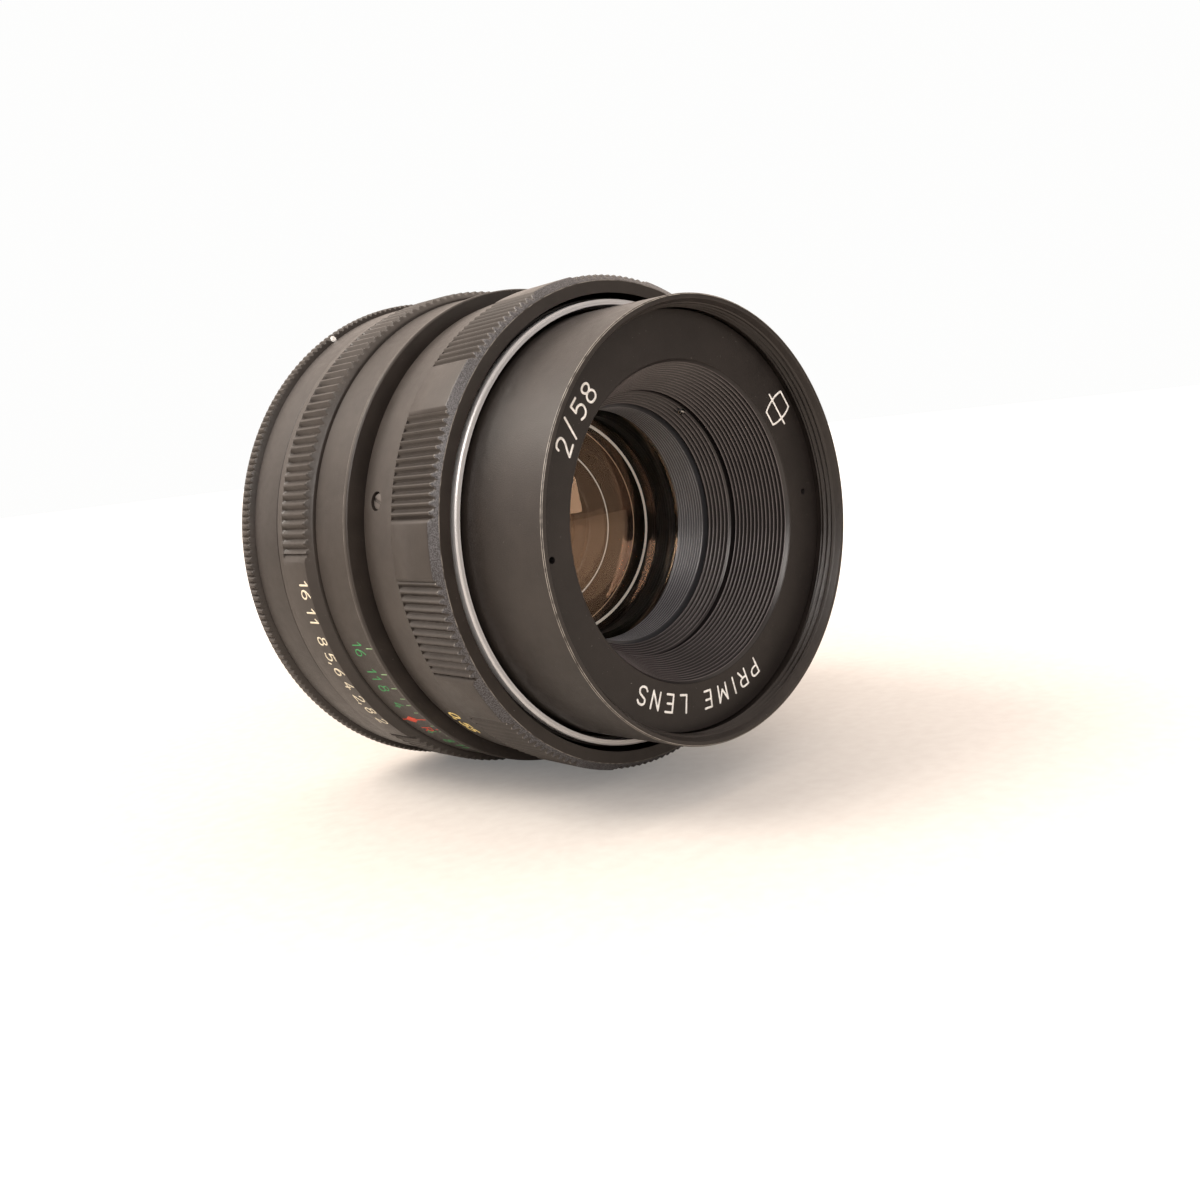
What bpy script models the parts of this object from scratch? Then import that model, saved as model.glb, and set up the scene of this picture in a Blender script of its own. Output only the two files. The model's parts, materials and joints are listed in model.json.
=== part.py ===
"""Prime camera lens: screw-mount barrel with a rotating focusing ring, sliding optical block and iris.

The optical axis runs along Y and the front of the lens faces -Y. The origin is the centre of the
mounting flange. The lens lies on its side, so +Z is radially up. Angles round the axis are measured
from +Z towards +X. Stations are millimetres behind the front rim, with the lens at closest focus.
"""
import math

import bmesh
import bpy
from mathutils import Vector

MM = 0.001

# ---- driving dimensions, in millimetres and degrees ----
FLANGE = 59.0                  # station of the mounting flange
GAP = 0.3                      # running clearance between neighbouring pieces
OUTER_STEPS = 40               # facets round the outer rings
INNER_STEPS = 24               # facets round the inner rings and the glass

TUBE_R = 27.0                  # front tube, takes a 52 mm filter
FILTER_R = 26.0
SKIRT_R = 24.9                 # bore of the front tube
SKIRT_END = 46.0
NAME_FACE = 3.5                # station of the name ring's face
NAME_R = (19.7, 25.6)
HOOD_END = (10.9, 16.55)       # rear edge of the name ring's cone

HELICOID_R = TUBE_R + GAP
HELICOID_OUT = 28.6
FOCUS_BORE = HELICOID_OUT + GAP
FOCUS_FRONT = 13.1
FOCUS_REAR = 28.4
PAD_COUNT = 10                 # smooth raised pads between the knurled groups of the focusing ring
PAD_PHASE = 20.0
PAD_HALF = 6.8
FOCUS_TRAVEL = 7.9             # how far the optical block slides to reach infinity

SCALE_FRONT = 29.7             # depth-of-field ring
SCALE_REAR = 36.9
APERTURE_FRONT = 37.2
APERTURE_REAR = 44.85
APERTURE_R = 33.3
NUMBER_PHASE = -114.4          # middle of the aperture ring's number panel
NUMBER_HALF = 26.4
BODY_R = 32.9
BODY_FRONT = 45.15
BODY_REAR = 51.0
BASE_R = 30.3
BASE_BORE = 27.4
SELECTOR_FRONT = 51.3
SELECTOR_REAR = 56.0
BASE_END = 56.3

THREAD_R = 20.85               # M42 mount thread
THREAD_END = 63.5
MOUNT_BORE = 18.9

SCREW_STATION = 25.4
SCREW_ANGLES = (-77.0, 43.0, 163.0)
SCREW_R = 1.0
MOUNT_SCREW_ANGLES = (0.0, 120.0, 240.0)
MOUNT_SCREW_R = 26.6           # distance of the mount screws from the axis

BLADE_COUNT = 8
BLADE_PIVOT_R = 17.6
BLADE_EDGE_R = 10.45           # inner edge of a blade, the full opening
BLADE_OUTER_R = 16.6
BLADE_THICK = 0.15
BLADE_PITCH = 0.32
BLADE_FIRST = 37.15
BLADE_REST = -3.47             # blades stand just inside full opening

FORK_ANGLE = 75.0
FORK_SWING = (-34.5, 4.5)      # travel of the aperture ring
KEY_ANGLES = (-150.0, -15.0)

PIN_ANGLE = 180.0
PIN_R = 17.4                   # distance of the stop-down pin from the axis
LEVER_ANGLE = 158.0
LEVER_STATION = 54.6
LEVER_R = 16.55
LEVER_HALF = 0.9
CLICK_ANGLE = -40.0
CLICK_R = 31.65


# ---- materials ----
def material(name, colour, roughness, metallic=0.0, transmission=0.0):
    """Principled material with a plain colour."""
    made = bpy.data.materials.new(name)
    made.use_nodes = True
    made.diffuse_color = (*colour, 1.0)
    shader = made.node_tree.nodes["Principled BSDF"]
    shader.inputs["Base Color"].default_value = (*colour, 1.0)
    shader.inputs["Roughness"].default_value = roughness
    shader.inputs["Metallic"].default_value = metallic
    shader.inputs["Transmission Weight"].default_value = transmission
    return made


def make_materials():
    return {
        "satin": material("satin_black", (0.030, 0.027, 0.025), 0.42),
        "matt": material("matt_black", (0.018, 0.016, 0.016), 0.70),
        "silver": material("bright_aluminium", (0.80, 0.78, 0.74), 0.22, 1.0),
        "alloy": material("plain_aluminium", (0.52, 0.52, 0.52), 0.38, 1.0),
        "brass": material("helicoid_brass", (0.62, 0.46, 0.20), 0.35, 1.0),
        "steel": material("bright_steel", (0.55, 0.55, 0.56), 0.28, 1.0),
        "blade": material("blade_steel", (0.10, 0.10, 0.105), 0.40, 1.0),
        "glass": material("coated_glass", (0.95, 0.90, 0.80), 0.03, 0.0, 1.0),
    }


# ---- building blocks ----
def at(station, radius, angle):
    """World point, in metres, at a station, a radius and an angle round the axis."""
    turn = math.radians(angle)
    return Vector((radius * math.sin(turn), station - FLANGE, radius * math.cos(turn))) * MM


def place(name, bm, finish, parent=None, sharp=32.0):
    """Turn a closed bmesh into a named object with outward normals and smooth round faces."""
    bmesh.ops.recalc_face_normals(bm, faces=bm.faces)
    mesh = bpy.data.meshes.new(name)
    bm.to_mesh(mesh)
    bm.free()
    mesh.shade_smooth()
    mesh.set_sharp_from_angle(angle=math.radians(sharp))
    mesh.materials.append(finish)
    made = bpy.data.objects.new(name, mesh)
    bpy.context.scene.collection.objects.link(made)
    made.parent = parent
    return made


def empty(name, location=(0.0, 0.0, 0.0), parent=None):
    """Parent empty on a body's joint axis."""
    made = bpy.data.objects.new(name, None)
    bpy.context.scene.collection.objects.link(made)
    made.location = location
    made.parent = parent
    return made


def loft(rings, closed=True):
    """Bridge equal rings of points into a closed skin: the last ring joins the first, or is capped."""
    bm = bmesh.new()
    loops = [[bm.verts.new(point) for point in ring] for ring in rings]
    count = len(loops[0])
    pairs = list(zip(loops, loops[1:]))
    if closed:
        pairs.append((loops[-1], loops[0]))
    else:
        bm.faces.new(loops[0])
        bm.faces.new(reversed(loops[-1]))
    for first, second in pairs:
        for index in range(count):
            after = (index + 1) % count
            bm.faces.new((first[index], second[index], second[after], first[after]))
    return bm


def turned(name, profile, finish, parent=None, steps=OUTER_STEPS):
    """Ring turned from a closed profile of (station, radius) points."""
    rings = []
    for step in range(steps):
        angle = 360.0 * step / steps
        rings.append([at(station, radius, angle) for station, radius in profile])
    return place(name, loft(rings), finish, parent)


def grip_angles(count, phase, half, step=6.5, wall=0.25):
    """Angles round a ring with raised pads, each with True on a pad and False between pads."""
    angles = []
    period = 360.0 / count
    for index in range(count):
        middle = phase + period * index
        spans = ((middle - half, middle + half, True), (middle + half + wall, middle + period - half - wall, False))
        for low, high, raised in spans:
            parts = max(1, math.ceil((high - low) / step))
            angles += [(low + (high - low) * part / parts, raised) for part in range(parts + 1)]
    return angles


def padded_ring(name, low, high, pads, finish, parent):
    """Ring whose profile is `high` on the pads and `low` between them."""
    rings = []
    for angle, raised in grip_angles(*pads):
        profile = high if raised else low
        rings.append([at(station, radius, angle) for station, radius in profile])
    return place(name, loft(rings), finish, parent)


def sector(name, radii, stations, angles, finish, parent=None, steps=1):
    """Curved block between two radii, two stations and two angles."""
    profile = [(stations[0], radii[0]), (stations[0], radii[1]), (stations[1], radii[1]), (stations[1], radii[0])]
    rings = []
    for step in range(steps + 1):
        angle = angles[0] + (angles[1] - angles[0]) * step / steps
        rings.append([at(station, radius, angle) for station, radius in profile])
    return place(name, loft(rings, closed=False), finish, parent)


def rod(name, points, finish, parent=None, sides=10):
    """Straight round rod through (point, radius in mm) pairs that lie on one line."""
    axis = (points[-1][0] - points[0][0]).normalized()
    across = axis.orthogonal().normalized()
    beside = axis.cross(across)
    rings = []
    for centre, radius in points:
        ring = []
        for side in range(sides):
            turn = math.tau * side / sides
            ring.append(centre + (across * math.cos(turn) + beside * math.sin(turn)) * radius * MM)
        rings.append(ring)
    return place(name, loft(rings, closed=False), finish, parent)


def spring(name, base, axis, radius, wire, length, turns, finish, parent=None):
    """Coil spring of round wire that starts at `base` and grows along `axis`."""
    across = axis.orthogonal().normalized()
    beside = axis.cross(across)
    per_turn = 6
    sides = 4
    total = turns * per_turn
    rings = []
    for step in range(total + 1):
        turn = math.tau * step / per_turn
        outward = across * math.cos(turn) + beside * math.sin(turn)
        centre = base + outward * radius * MM + axis * length * MM * step / total
        ring = []
        for side in range(sides):
            spin = math.tau * side / sides
            ring.append(centre + (outward * math.cos(spin) + axis * math.sin(spin)) * wire * MM)
        rings.append(ring)
    return place(name, loft(rings, closed=False), finish, parent, sharp=80.0)


def hide(tool):
    """Keep a cutting or joining tool out of the finished part."""
    tool.hide_render = True
    tool.display_type = 'WIRE'
    return tool


def combine(target, tool, operation):
    """Cut `tool` out of `target`, or join it on."""
    hide(tool)
    change = target.modifiers.new(tool.name, 'BOOLEAN')
    change.operation = operation
    change.solver = 'EXACT'
    change.object = tool


def arc_profile(vertex, curve_radius, reach, count):
    """Points of a spherical face from the axis out to `reach`; a positive radius bulges forwards."""
    points = []
    for step in range(1, count + 1):
        height = reach * step / count
        sag = abs(curve_radius) - math.sqrt(curve_radius ** 2 - height ** 2)
        points.append((vertex + math.copysign(sag, curve_radius), height))
    return points


def glass(name, front, rear, rim, finish, parent, steps=INNER_STEPS, rows=3):
    """Lens element from its front and rear faces, each (vertex station, curve radius, clear radius)."""
    face = arc_profile(*front, rows)
    back = arc_profile(*rear, rows)
    profile = face
    if front[2] < rim:
        profile = profile + [(face[-1][0], rim)]
    if rear[2] < rim:
        profile = profile + [(back[-1][0], rim)]
    profile = profile + back[::-1]
    bm = bmesh.new()
    front_pole = bm.verts.new(at(front[0], 0.0, 0.0))
    rear_pole = bm.verts.new(at(rear[0], 0.0, 0.0))
    columns = []
    for step in range(steps):
        angle = 360.0 * step / steps
        columns.append([bm.verts.new(at(station, radius, angle)) for station, radius in profile])
    for step in range(steps):
        here = columns[step]
        there = columns[(step + 1) % steps]
        bm.faces.new((front_pole, here[0], there[0]))
        bm.faces.new((rear_pole, there[-1], here[-1]))
        for row in range(len(profile) - 1):
            bm.faces.new((here[row], here[row + 1], there[row + 1], there[row]))
    return place(name, bm, finish, parent)


# ---- front tube and the pieces that screw into it ----
def make_front(finish, body):
    """Front tube with the filter socket, an inner web for the optical block and a slotted skirt."""
    tube = turned("front_tube", [
        (0.0, FILTER_R), (0.0, TUBE_R - 0.2), (0.2, TUBE_R), (SKIRT_END, TUBE_R), (SKIRT_END, SKIRT_R),
        (19.3, SKIRT_R), (19.3, 22.5), (17.3, 22.5), (17.3, SKIRT_R), (5.2, SKIRT_R), (5.2, FILTER_R)],
        finish["satin"], body)
    for number, angle in enumerate(KEY_ANGLES, 1):
        slot = sector(f"key_slot_{number}", (SKIRT_R - 1, TUBE_R + 1), (27.4, SKIRT_END + 1),
                      (angle - 4.0, angle + 4.0), finish["satin"])
        combine(tube, slot, 'DIFFERENCE')
    window = sector("skirt_window", (SKIRT_R - 1, TUBE_R + 1), (33.5, SKIRT_END + 1),
                    (FORK_ANGLE + FORK_SWING[0] - 7, FORK_ANGLE + FORK_SWING[1] + 7), finish["satin"], steps=8)
    combine(tube, window, 'DIFFERENCE')

    name_ring = turned("name_ring", [
        (NAME_FACE, NAME_R[0]), (NAME_FACE, NAME_R[1]), (NAME_FACE + 1.4, NAME_R[1]),
        (NAME_FACE + 1.4, NAME_R[0] + 0.7), (HOOD_END[0], HOOD_END[1] + 1.2), HOOD_END],
        finish["matt"], body)
    for number, angle in enumerate((87.0, -93.0), 1):
        hole = rod(f"spanner_cut_{number}", [(at(NAME_FACE - 1, 22.9, angle), 0.45),
                                             (at(NAME_FACE + 0.9, 22.9, angle), 0.45)], finish["matt"], sides=8)
        combine(name_ring, hole, 'DIFFERENCE')

    turned("hood_ring", [(11.4, 16.75), (11.4, 18.7), (14.45, 18.7), (14.45, 15.2)],
           finish["matt"], body, INNER_STEPS)
    turned("front_element_ring", [(14.85, 15.0), (14.85, 16.9), (19.5, 16.9), (19.5, 15.0)],
           finish["matt"], body, INNER_STEPS)
    turned("front_cell", [
        (12.0, 19.0), (12.0, 20.5), (15.3, 20.5), (15.3, 24.6), (17.0, 24.6), (17.0, 20.6), (36.7, 20.6),
        (36.7, 11.2), (36.2, 11.2), (36.2, 14.1), (26.6, 14.1), (26.6, 16.3), (19.8, 16.3), (19.8, 17.2),
        (14.75, 17.2), (14.75, 19.0)], finish["matt"], body, INNER_STEPS)
    turned("front_spacer", [(23.75, 14.0), (23.75, 16.0), (26.3, 16.0), (26.3, 14.0)],
           finish["matt"], body, INNER_STEPS)


def make_glass(finish, body):
    """Six elements in four groups, in double-Gauss order round the iris."""
    glass("front_meniscus", (16.9, 41.0, 15.6), (22.2, 110.0, 15.6), 16.0, finish["glass"], body)
    glass("front_doublet_crown", (22.6, 25.5, 13.8), (29.6, 90.0, 13.8), 13.8, finish["glass"], body)
    glass("front_doublet_flint", (29.7, 90.0, 13.8), (31.8, 16.5, 10.9), 13.8, finish["glass"], body)
    glass("rear_doublet_flint", (44.4, -18.5, 10.6), (46.4, 65.0, 12.2), 12.2, finish["glass"], body)
    glass("rear_doublet_crown", (46.5, 65.0, 12.2), (54.4, -28.0, 12.2), 12.2, finish["glass"], body)
    glass("rear_element", (54.9, 120.0, 12.6), (59.4, -49.0, 12.6), 12.6, finish["glass"], body)


# ---- iris ----
def blade_outline():
    """Outline of a blade about the optical axis, with its pivot ear at angle zero, in millimetres."""
    def polar(radius, angle):
        return radius * math.cos(math.radians(angle)), radius * math.sin(math.radians(angle))

    inner = [polar(BLADE_EDGE_R, angle) for angle in range(-4, 119, 10)]
    tip = [polar(13.5, 121.5), polar(16.0, 119.0)]
    outer = [polar(BLADE_OUTER_R, angle) for angle in range(114, 8, -13)]
    ear = []
    for angle in (75, 25, -25, -75):
        offset = polar(1.2, angle)
        ear.append((BLADE_PIVOT_R + offset[0], offset[1]))
    return inner + tip + outer + ear


def make_iris(finish, barrel):
    """Housing, drive ring and eight blades, each blade hinged on its own pin at its own level."""
    housing = turned("iris_housing", [
        (30.0, 20.9), (30.0, 22.0), (43.2, 22.0), (43.2, 13.6), (42.1, 13.6), (42.1, 20.9)],
        finish["matt"], barrel, INNER_STEPS)
    slot = sector("housing_window", (20.0, 23.0), (39.7, 41.9),
                  (FORK_ANGLE + FORK_SWING[0] - 6, FORK_ANGLE + FORK_SWING[1] + 6), finish["matt"], steps=8)
    combine(housing, slot, 'DIFFERENCE')

    drive_body = empty("iris_drive_body", parent=barrel)
    drive = turned("iris_drive_ring", [(40.3, 14.6), (40.3, 20.5), (41.5, 20.5), (41.5, 14.6)],
                   finish["alloy"], drive_body, INNER_STEPS)
    arm = sector("drive_arm", (19.8, 24.2), (40.4, 41.4), (FORK_ANGLE - 2.0, FORK_ANGLE + 2.0), finish["alloy"])
    combine(drive, arm, 'UNION')

    outline = blade_outline()
    for index in range(BLADE_COUNT):
        bearing = 360.0 * index / BLADE_COUNT
        level = BLADE_FIRST + BLADE_PITCH * index
        pivot = empty(f"blade_pivot_{index + 1}", at(level, BLADE_PIVOT_R, bearing), barrel)
        pivot.rotation_euler = (0.0, math.radians(bearing + BLADE_REST), 0.0)
        rings = []
        for depth in (0.0, BLADE_THICK):
            rings.append([Vector((-across, depth, along - BLADE_PIVOT_R)) * MM for along, across in outline])
        blade = place(f"iris_blade_{index + 1}", loft(rings, closed=False), finish["blade"], pivot)
        reach = BLADE_FIRST - 0.2 - level
        pin = rod(f"blade_pin_{index + 1}", [(Vector((0.0, reach, 0.0)) * MM, 0.45),
                                             (Vector((0.0, BLADE_THICK + 0.1, 0.0)) * MM, 0.45)],
                  finish["blade"], pivot, sides=6)
        combine(blade, pin, 'UNION')


# ---- rear half of the optical block ----
def make_rear_block(finish, body):
    turned("rear_cell", [
        (40.3, 11.0), (40.3, 13.3), (43.5, 13.3), (43.5, 20.4), (44.5, 20.4), (44.5, 15.0), (59.8, 15.0),
        (60.4, 14.4), (60.4, 12.9), (51.7, 12.9), (51.7, 12.5), (40.8, 12.5), (40.8, 11.0)],
        finish["matt"], body, INNER_STEPS)
    turned("rear_spacer", [(52.0, 11.9), (52.0, 12.6), (55.2, 12.6), (55.2, 11.9)],
           finish["matt"], body, INNER_STEPS)
    turned("rear_retaining_ring", [(58.4, 11.4), (58.4, 12.6), (60.2, 12.6), (60.2, 11.4)],
           finish["satin"], body, INNER_STEPS)


# ---- focusing ring and helicoid ----
def make_focus(finish, body):
    """Rotating helicoid ring with the grip ring, the bright trim ring and three set screws on it."""
    turned("helicoid_ring", [
        (14.8, HELICOID_R), (14.8, HELICOID_OUT), (30.9, HELICOID_OUT), (30.9, 29.9), (32.1, 29.9),
        (32.1, HELICOID_R)], finish["brass"], body)
    turned("trim_ring", [(13.2, 27.55), (13.2, 28.55), (14.5, 28.55), (14.5, 27.55)], finish["silver"], body)
    knurled = [(FOCUS_FRONT, FOCUS_BORE), (FOCUS_FRONT, 30.6), (FOCUS_FRONT + 0.6, 31.2), (21.7, 31.1),
               (21.9, 31.05), (FOCUS_REAR - 0.2, 30.6), (FOCUS_REAR, 30.4), (FOCUS_REAR, FOCUS_BORE)]
    raised = [(FOCUS_FRONT, FOCUS_BORE), (FOCUS_FRONT, 30.6), (FOCUS_FRONT + 0.95, 31.55), (21.7, 31.4),
              (21.9, 31.05), (FOCUS_REAR - 0.2, 30.6), (FOCUS_REAR, 30.4), (FOCUS_REAR, FOCUS_BORE)]
    ring = padded_ring("focus_ring", knurled, raised, (PAD_COUNT, PAD_PHASE, PAD_HALF), finish["satin"], body)
    for number, angle in enumerate(SCREW_ANGLES, 1):
        hole = rod(f"screw_cut_{number}", [(at(SCREW_STATION, FOCUS_BORE - 1, angle), SCREW_R + 0.25),
                                           (at(SCREW_STATION, 33.0, angle), SCREW_R + 0.25)],
                   finish["satin"])
        combine(ring, hole, 'DIFFERENCE')
        screw = rod(f"set_screw_{number}", [(at(SCREW_STATION, FOCUS_BORE, angle), SCREW_R),
                                            (at(SCREW_STATION, 30.65, angle), SCREW_R),
                                            (at(SCREW_STATION, 30.85, angle), SCREW_R - 0.2)],
                    finish["steel"], body)
        slot = rod(f"slot_cut_{number}", [(at(SCREW_STATION - 2, 31.0, angle), 0.35),
                                          (at(SCREW_STATION + 2, 31.0, angle), 0.35)], finish["steel"], sides=4)
        combine(screw, slot, 'DIFFERENCE')


# ---- fixed base ----
def make_base(finish, body):
    """Fixed body of the lens: base tube, depth-of-field ring, guide keys and the mounting flange."""
    base = turned("base_tube", [
        (32.5, BASE_BORE), (32.5, BASE_R), (BODY_FRONT, BASE_R), (BODY_FRONT, BODY_R), (BODY_REAR, BODY_R),
        (BODY_REAR, 30.8), (BASE_END, 30.8), (BASE_END, 24.2), (54.5, 24.2), (54.5, BASE_BORE)],
        finish["satin"], body)
    window = sector("base_window", (BASE_BORE - 1, BASE_R + 1), (42.0, 44.9),
                    (FORK_ANGLE + FORK_SWING[0] - 6, FORK_ANGLE + FORK_SWING[1] + 6), finish["satin"], steps=8)
    combine(base, window, 'DIFFERENCE')
    pocket = rod("click_pocket", [(at(BODY_FRONT - 1, CLICK_R, CLICK_ANGLE), 0.95),
                                  (at(50.4, CLICK_R, CLICK_ANGLE), 0.95)], finish["satin"])
    combine(base, pocket, 'DIFFERENCE')

    turned("depth_scale_ring", [
        (SCALE_FRONT, 28.95), (SCALE_FRONT, 32.0), (SCALE_FRONT + 0.2, 32.2), (30.4, 32.2), (30.9, 31.6),
        (SCALE_REAR, 32.1), (SCALE_REAR, 30.6), (32.4, 30.6), (32.4, 30.2), (30.6, 30.2), (30.6, 28.95)],
        finish["satin"], body)
    for number, angle in enumerate(KEY_ANGLES, 1):
        sector(f"guide_key_{number}", (25.2, 27.1), (36.0, 54.2), (angle - 3.2, angle + 3.2), finish["brass"], body)

    plate = turned("mount_plate", [
        (BASE_END + GAP, 16.1), (BASE_END + GAP, 30.8), (57.9, 30.8), (FLANGE, 29.4), (FLANGE, THREAD_R),
        (THREAD_END - 0.5, THREAD_R), (THREAD_END, THREAD_R - 0.5), (THREAD_END, MOUNT_BORE), (58.2, MOUNT_BORE),
        (58.2, 16.1)], finish["alloy"], body)
    pin_hole = rod("pin_cut", [(at(55.0, PIN_R, PIN_ANGLE), 0.9), (at(60.0, PIN_R, PIN_ANGLE), 0.9)],
                   finish["alloy"])
    combine(plate, pin_hole, 'DIFFERENCE')
    for number, angle in enumerate(MOUNT_SCREW_ANGLES, 1):
        seat = rod(f"screw_seat_{number}", [
            (at(53.0, MOUNT_SCREW_R, angle), 1.1), (at(57.6, MOUNT_SCREW_R, angle), 1.1),
            (at(58.5, MOUNT_SCREW_R, angle), 2.0), (at(60.0, MOUNT_SCREW_R, angle), 2.0)], finish["steel"])
        combine(plate, seat, 'DIFFERENCE')
        combine(base, seat, 'DIFFERENCE')
        screw = rod(f"mount_screw_{number}", [
            (at(54.9, MOUNT_SCREW_R, angle), 0.8), (at(57.7, MOUNT_SCREW_R, angle), 0.8),
            (at(58.6, MOUNT_SCREW_R, angle), 1.7), (at(58.9, MOUNT_SCREW_R, angle), 1.7)], finish["steel"], body)
        slot = sector(f"driver_cut_{number}", (MOUNT_SCREW_R - 2.5, MOUNT_SCREW_R + 2.5), (58.55, 60.0),
                      (angle - 0.6, angle + 0.6), finish["steel"])
        combine(screw, slot, 'DIFFERENCE')


def make_click_stop(finish, body):
    """Ball and coil spring that click the aperture ring, in a pocket of the base tube."""
    ball_centre = at(BODY_FRONT + 0.55, CLICK_R, CLICK_ANGLE)
    bm = bmesh.new()
    bmesh.ops.create_uvsphere(bm, u_segments=10, v_segments=6, radius=0.6 * MM)
    bmesh.ops.translate(bm, verts=bm.verts, vec=ball_centre)
    place("click_ball", bm, finish["steel"], body)
    spring("click_spring", at(46.7, CLICK_R, CLICK_ANGLE), Vector((0.0, 1.0, 0.0)), 0.45, 0.12, 3.3, 5,
           finish["steel"], body)


# ---- rings and controls that turn on the base ----
def make_aperture(finish, body):
    """Aperture ring with a number panel raised above its knurl, and the fork that drives the iris."""
    knurled = [(APERTURE_FRONT, BASE_R + GAP), (APERTURE_FRONT, 32.3), (38.0, 33.1), (43.4, 33.1), (43.5, 33.1),
               (APERTURE_REAR, 33.05), (APERTURE_REAR, BASE_R + GAP)]
    panel = [(APERTURE_FRONT, BASE_R + GAP), (APERTURE_FRONT, 32.3), (38.2, APERTURE_R), (43.4, APERTURE_R),
             (43.5, 33.1), (APERTURE_REAR, 33.05), (APERTURE_REAR, BASE_R + GAP)]
    padded_ring("aperture_ring", knurled, panel, (1, NUMBER_PHASE, NUMBER_HALF), finish["satin"], body)

    fork = sector("aperture_fork", (22.8, 24.4), (33.0, 54.0), (FORK_ANGLE - 5.0, FORK_ANGLE + 5.0),
                  finish["steel"], body)
    throat = sector("fork_throat", (21.8, 25.4), (32.0, 52.2), (FORK_ANGLE - 2.9, FORK_ANGLE + 2.9),
                    finish["steel"])
    combine(fork, throat, 'DIFFERENCE')
    arm = sector("fork_arm", (24.1, 30.2), (42.4, 44.5), (FORK_ANGLE + 3.1, FORK_ANGLE + 4.9), finish["steel"])
    combine(fork, arm, 'UNION')


def make_selector(finish, body):
    """Ring that switches the iris between automatic and manual."""
    turned("mode_ring", [
        (SELECTOR_FRONT, 31.1), (SELECTOR_FRONT, 32.1), (51.9, 33.5), (52.2, 33.6), (53.3, 33.6),
        (SELECTOR_REAR, 32.2), (SELECTOR_REAR, 31.1)], finish["satin"], body)


def make_stop_down(finish, root):
    """Sprung stop-down pin behind the flange, and the rocker it pushes."""
    pin_body = empty("stop_pin_body", parent=root)
    rod("stop_pin", [
        (at(55.3, PIN_R, PIN_ANGLE), 1.1), (at(56.1, PIN_R, PIN_ANGLE), 1.1), (at(56.15, PIN_R, PIN_ANGLE), 0.6),
        (at(62.9, PIN_R, PIN_ANGLE), 0.6), (at(62.95, PIN_R, PIN_ANGLE), 1.2), (at(63.9, PIN_R, PIN_ANGLE), 1.2),
        (at(63.95, PIN_R, PIN_ANGLE), 0.75), (at(65.0, PIN_R, PIN_ANGLE), 0.6)], finish["steel"], pin_body)
    spring("pin_spring", at(58.7, PIN_R, PIN_ANGLE), Vector((0.0, 1.0, 0.0)), 1.05, 0.13, 2.4, 5,
           finish["steel"], root)

    hinge = at(LEVER_STATION, LEVER_R, LEVER_ANGLE)
    lever_body = empty("stop_lever_body", hinge, root)
    lever_body.rotation_euler = (0.0, math.radians(LEVER_ANGLE), 0.0)
    rings = []
    for across, depth in ((-6.0, 0.4), (-2.2, 0.4), (-1.4, 1.0), (1.4, 1.0), (2.2, 0.4), (7.4, 0.4)):
        corners = ((-depth, -LEVER_HALF), (-depth, LEVER_HALF), (depth, LEVER_HALF), (depth, -LEVER_HALF))
        rings.append([Vector((across, low, height)) * MM for low, height in corners])
    lever = place("stop_lever", loft(rings, closed=False), finish["steel"], lever_body)
    bore = rod("lever_bore", [(at(LEVER_STATION, LEVER_R - 2, LEVER_ANGLE), 0.75),
                              (at(LEVER_STATION, LEVER_R + 2, LEVER_ANGLE), 0.75)], finish["steel"])
    combine(lever, bore, 'DIFFERENCE')
    rod("lever_pivot", [(at(LEVER_STATION, 15.45, LEVER_ANGLE), 0.45), (at(LEVER_STATION, 23.9, LEVER_ANGLE), 0.45)],
        finish["steel"], root)


def main():
    for old in list(bpy.data.objects):
        bpy.data.objects.remove(old)
    finish = make_materials()
    root = empty("base_body")
    focus = empty("focus_body", parent=root)
    barrel = empty("barrel_body", parent=root)
    aperture = empty("aperture_body", parent=root)
    mode = empty("mode_body", parent=root)
    make_front(finish, barrel)
    make_glass(finish, barrel)
    make_iris(finish, barrel)
    make_rear_block(finish, barrel)
    make_focus(finish, focus)
    make_base(finish, root)
    make_click_stop(finish, root)
    make_aperture(finish, aperture)
    make_selector(finish, mode)
    make_stop_down(finish, root)


main()
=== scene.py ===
"""Looks of a screw-mount prime camera lens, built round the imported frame.

The optical axis runs along Y and the front faces -Y. Stations are millimetres behind the front rim,
radii are millimetres from the axis, and angles are degrees from +Z towards +X.
"""
import json
from math import atan2, copysign, cos, degrees, dist, hypot, radians, sin, sqrt, tau

import bmesh
import bpy
import numpy as np
from mathutils import Matrix, Vector
from mathutils.bvhtree import BVHTree


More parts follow.
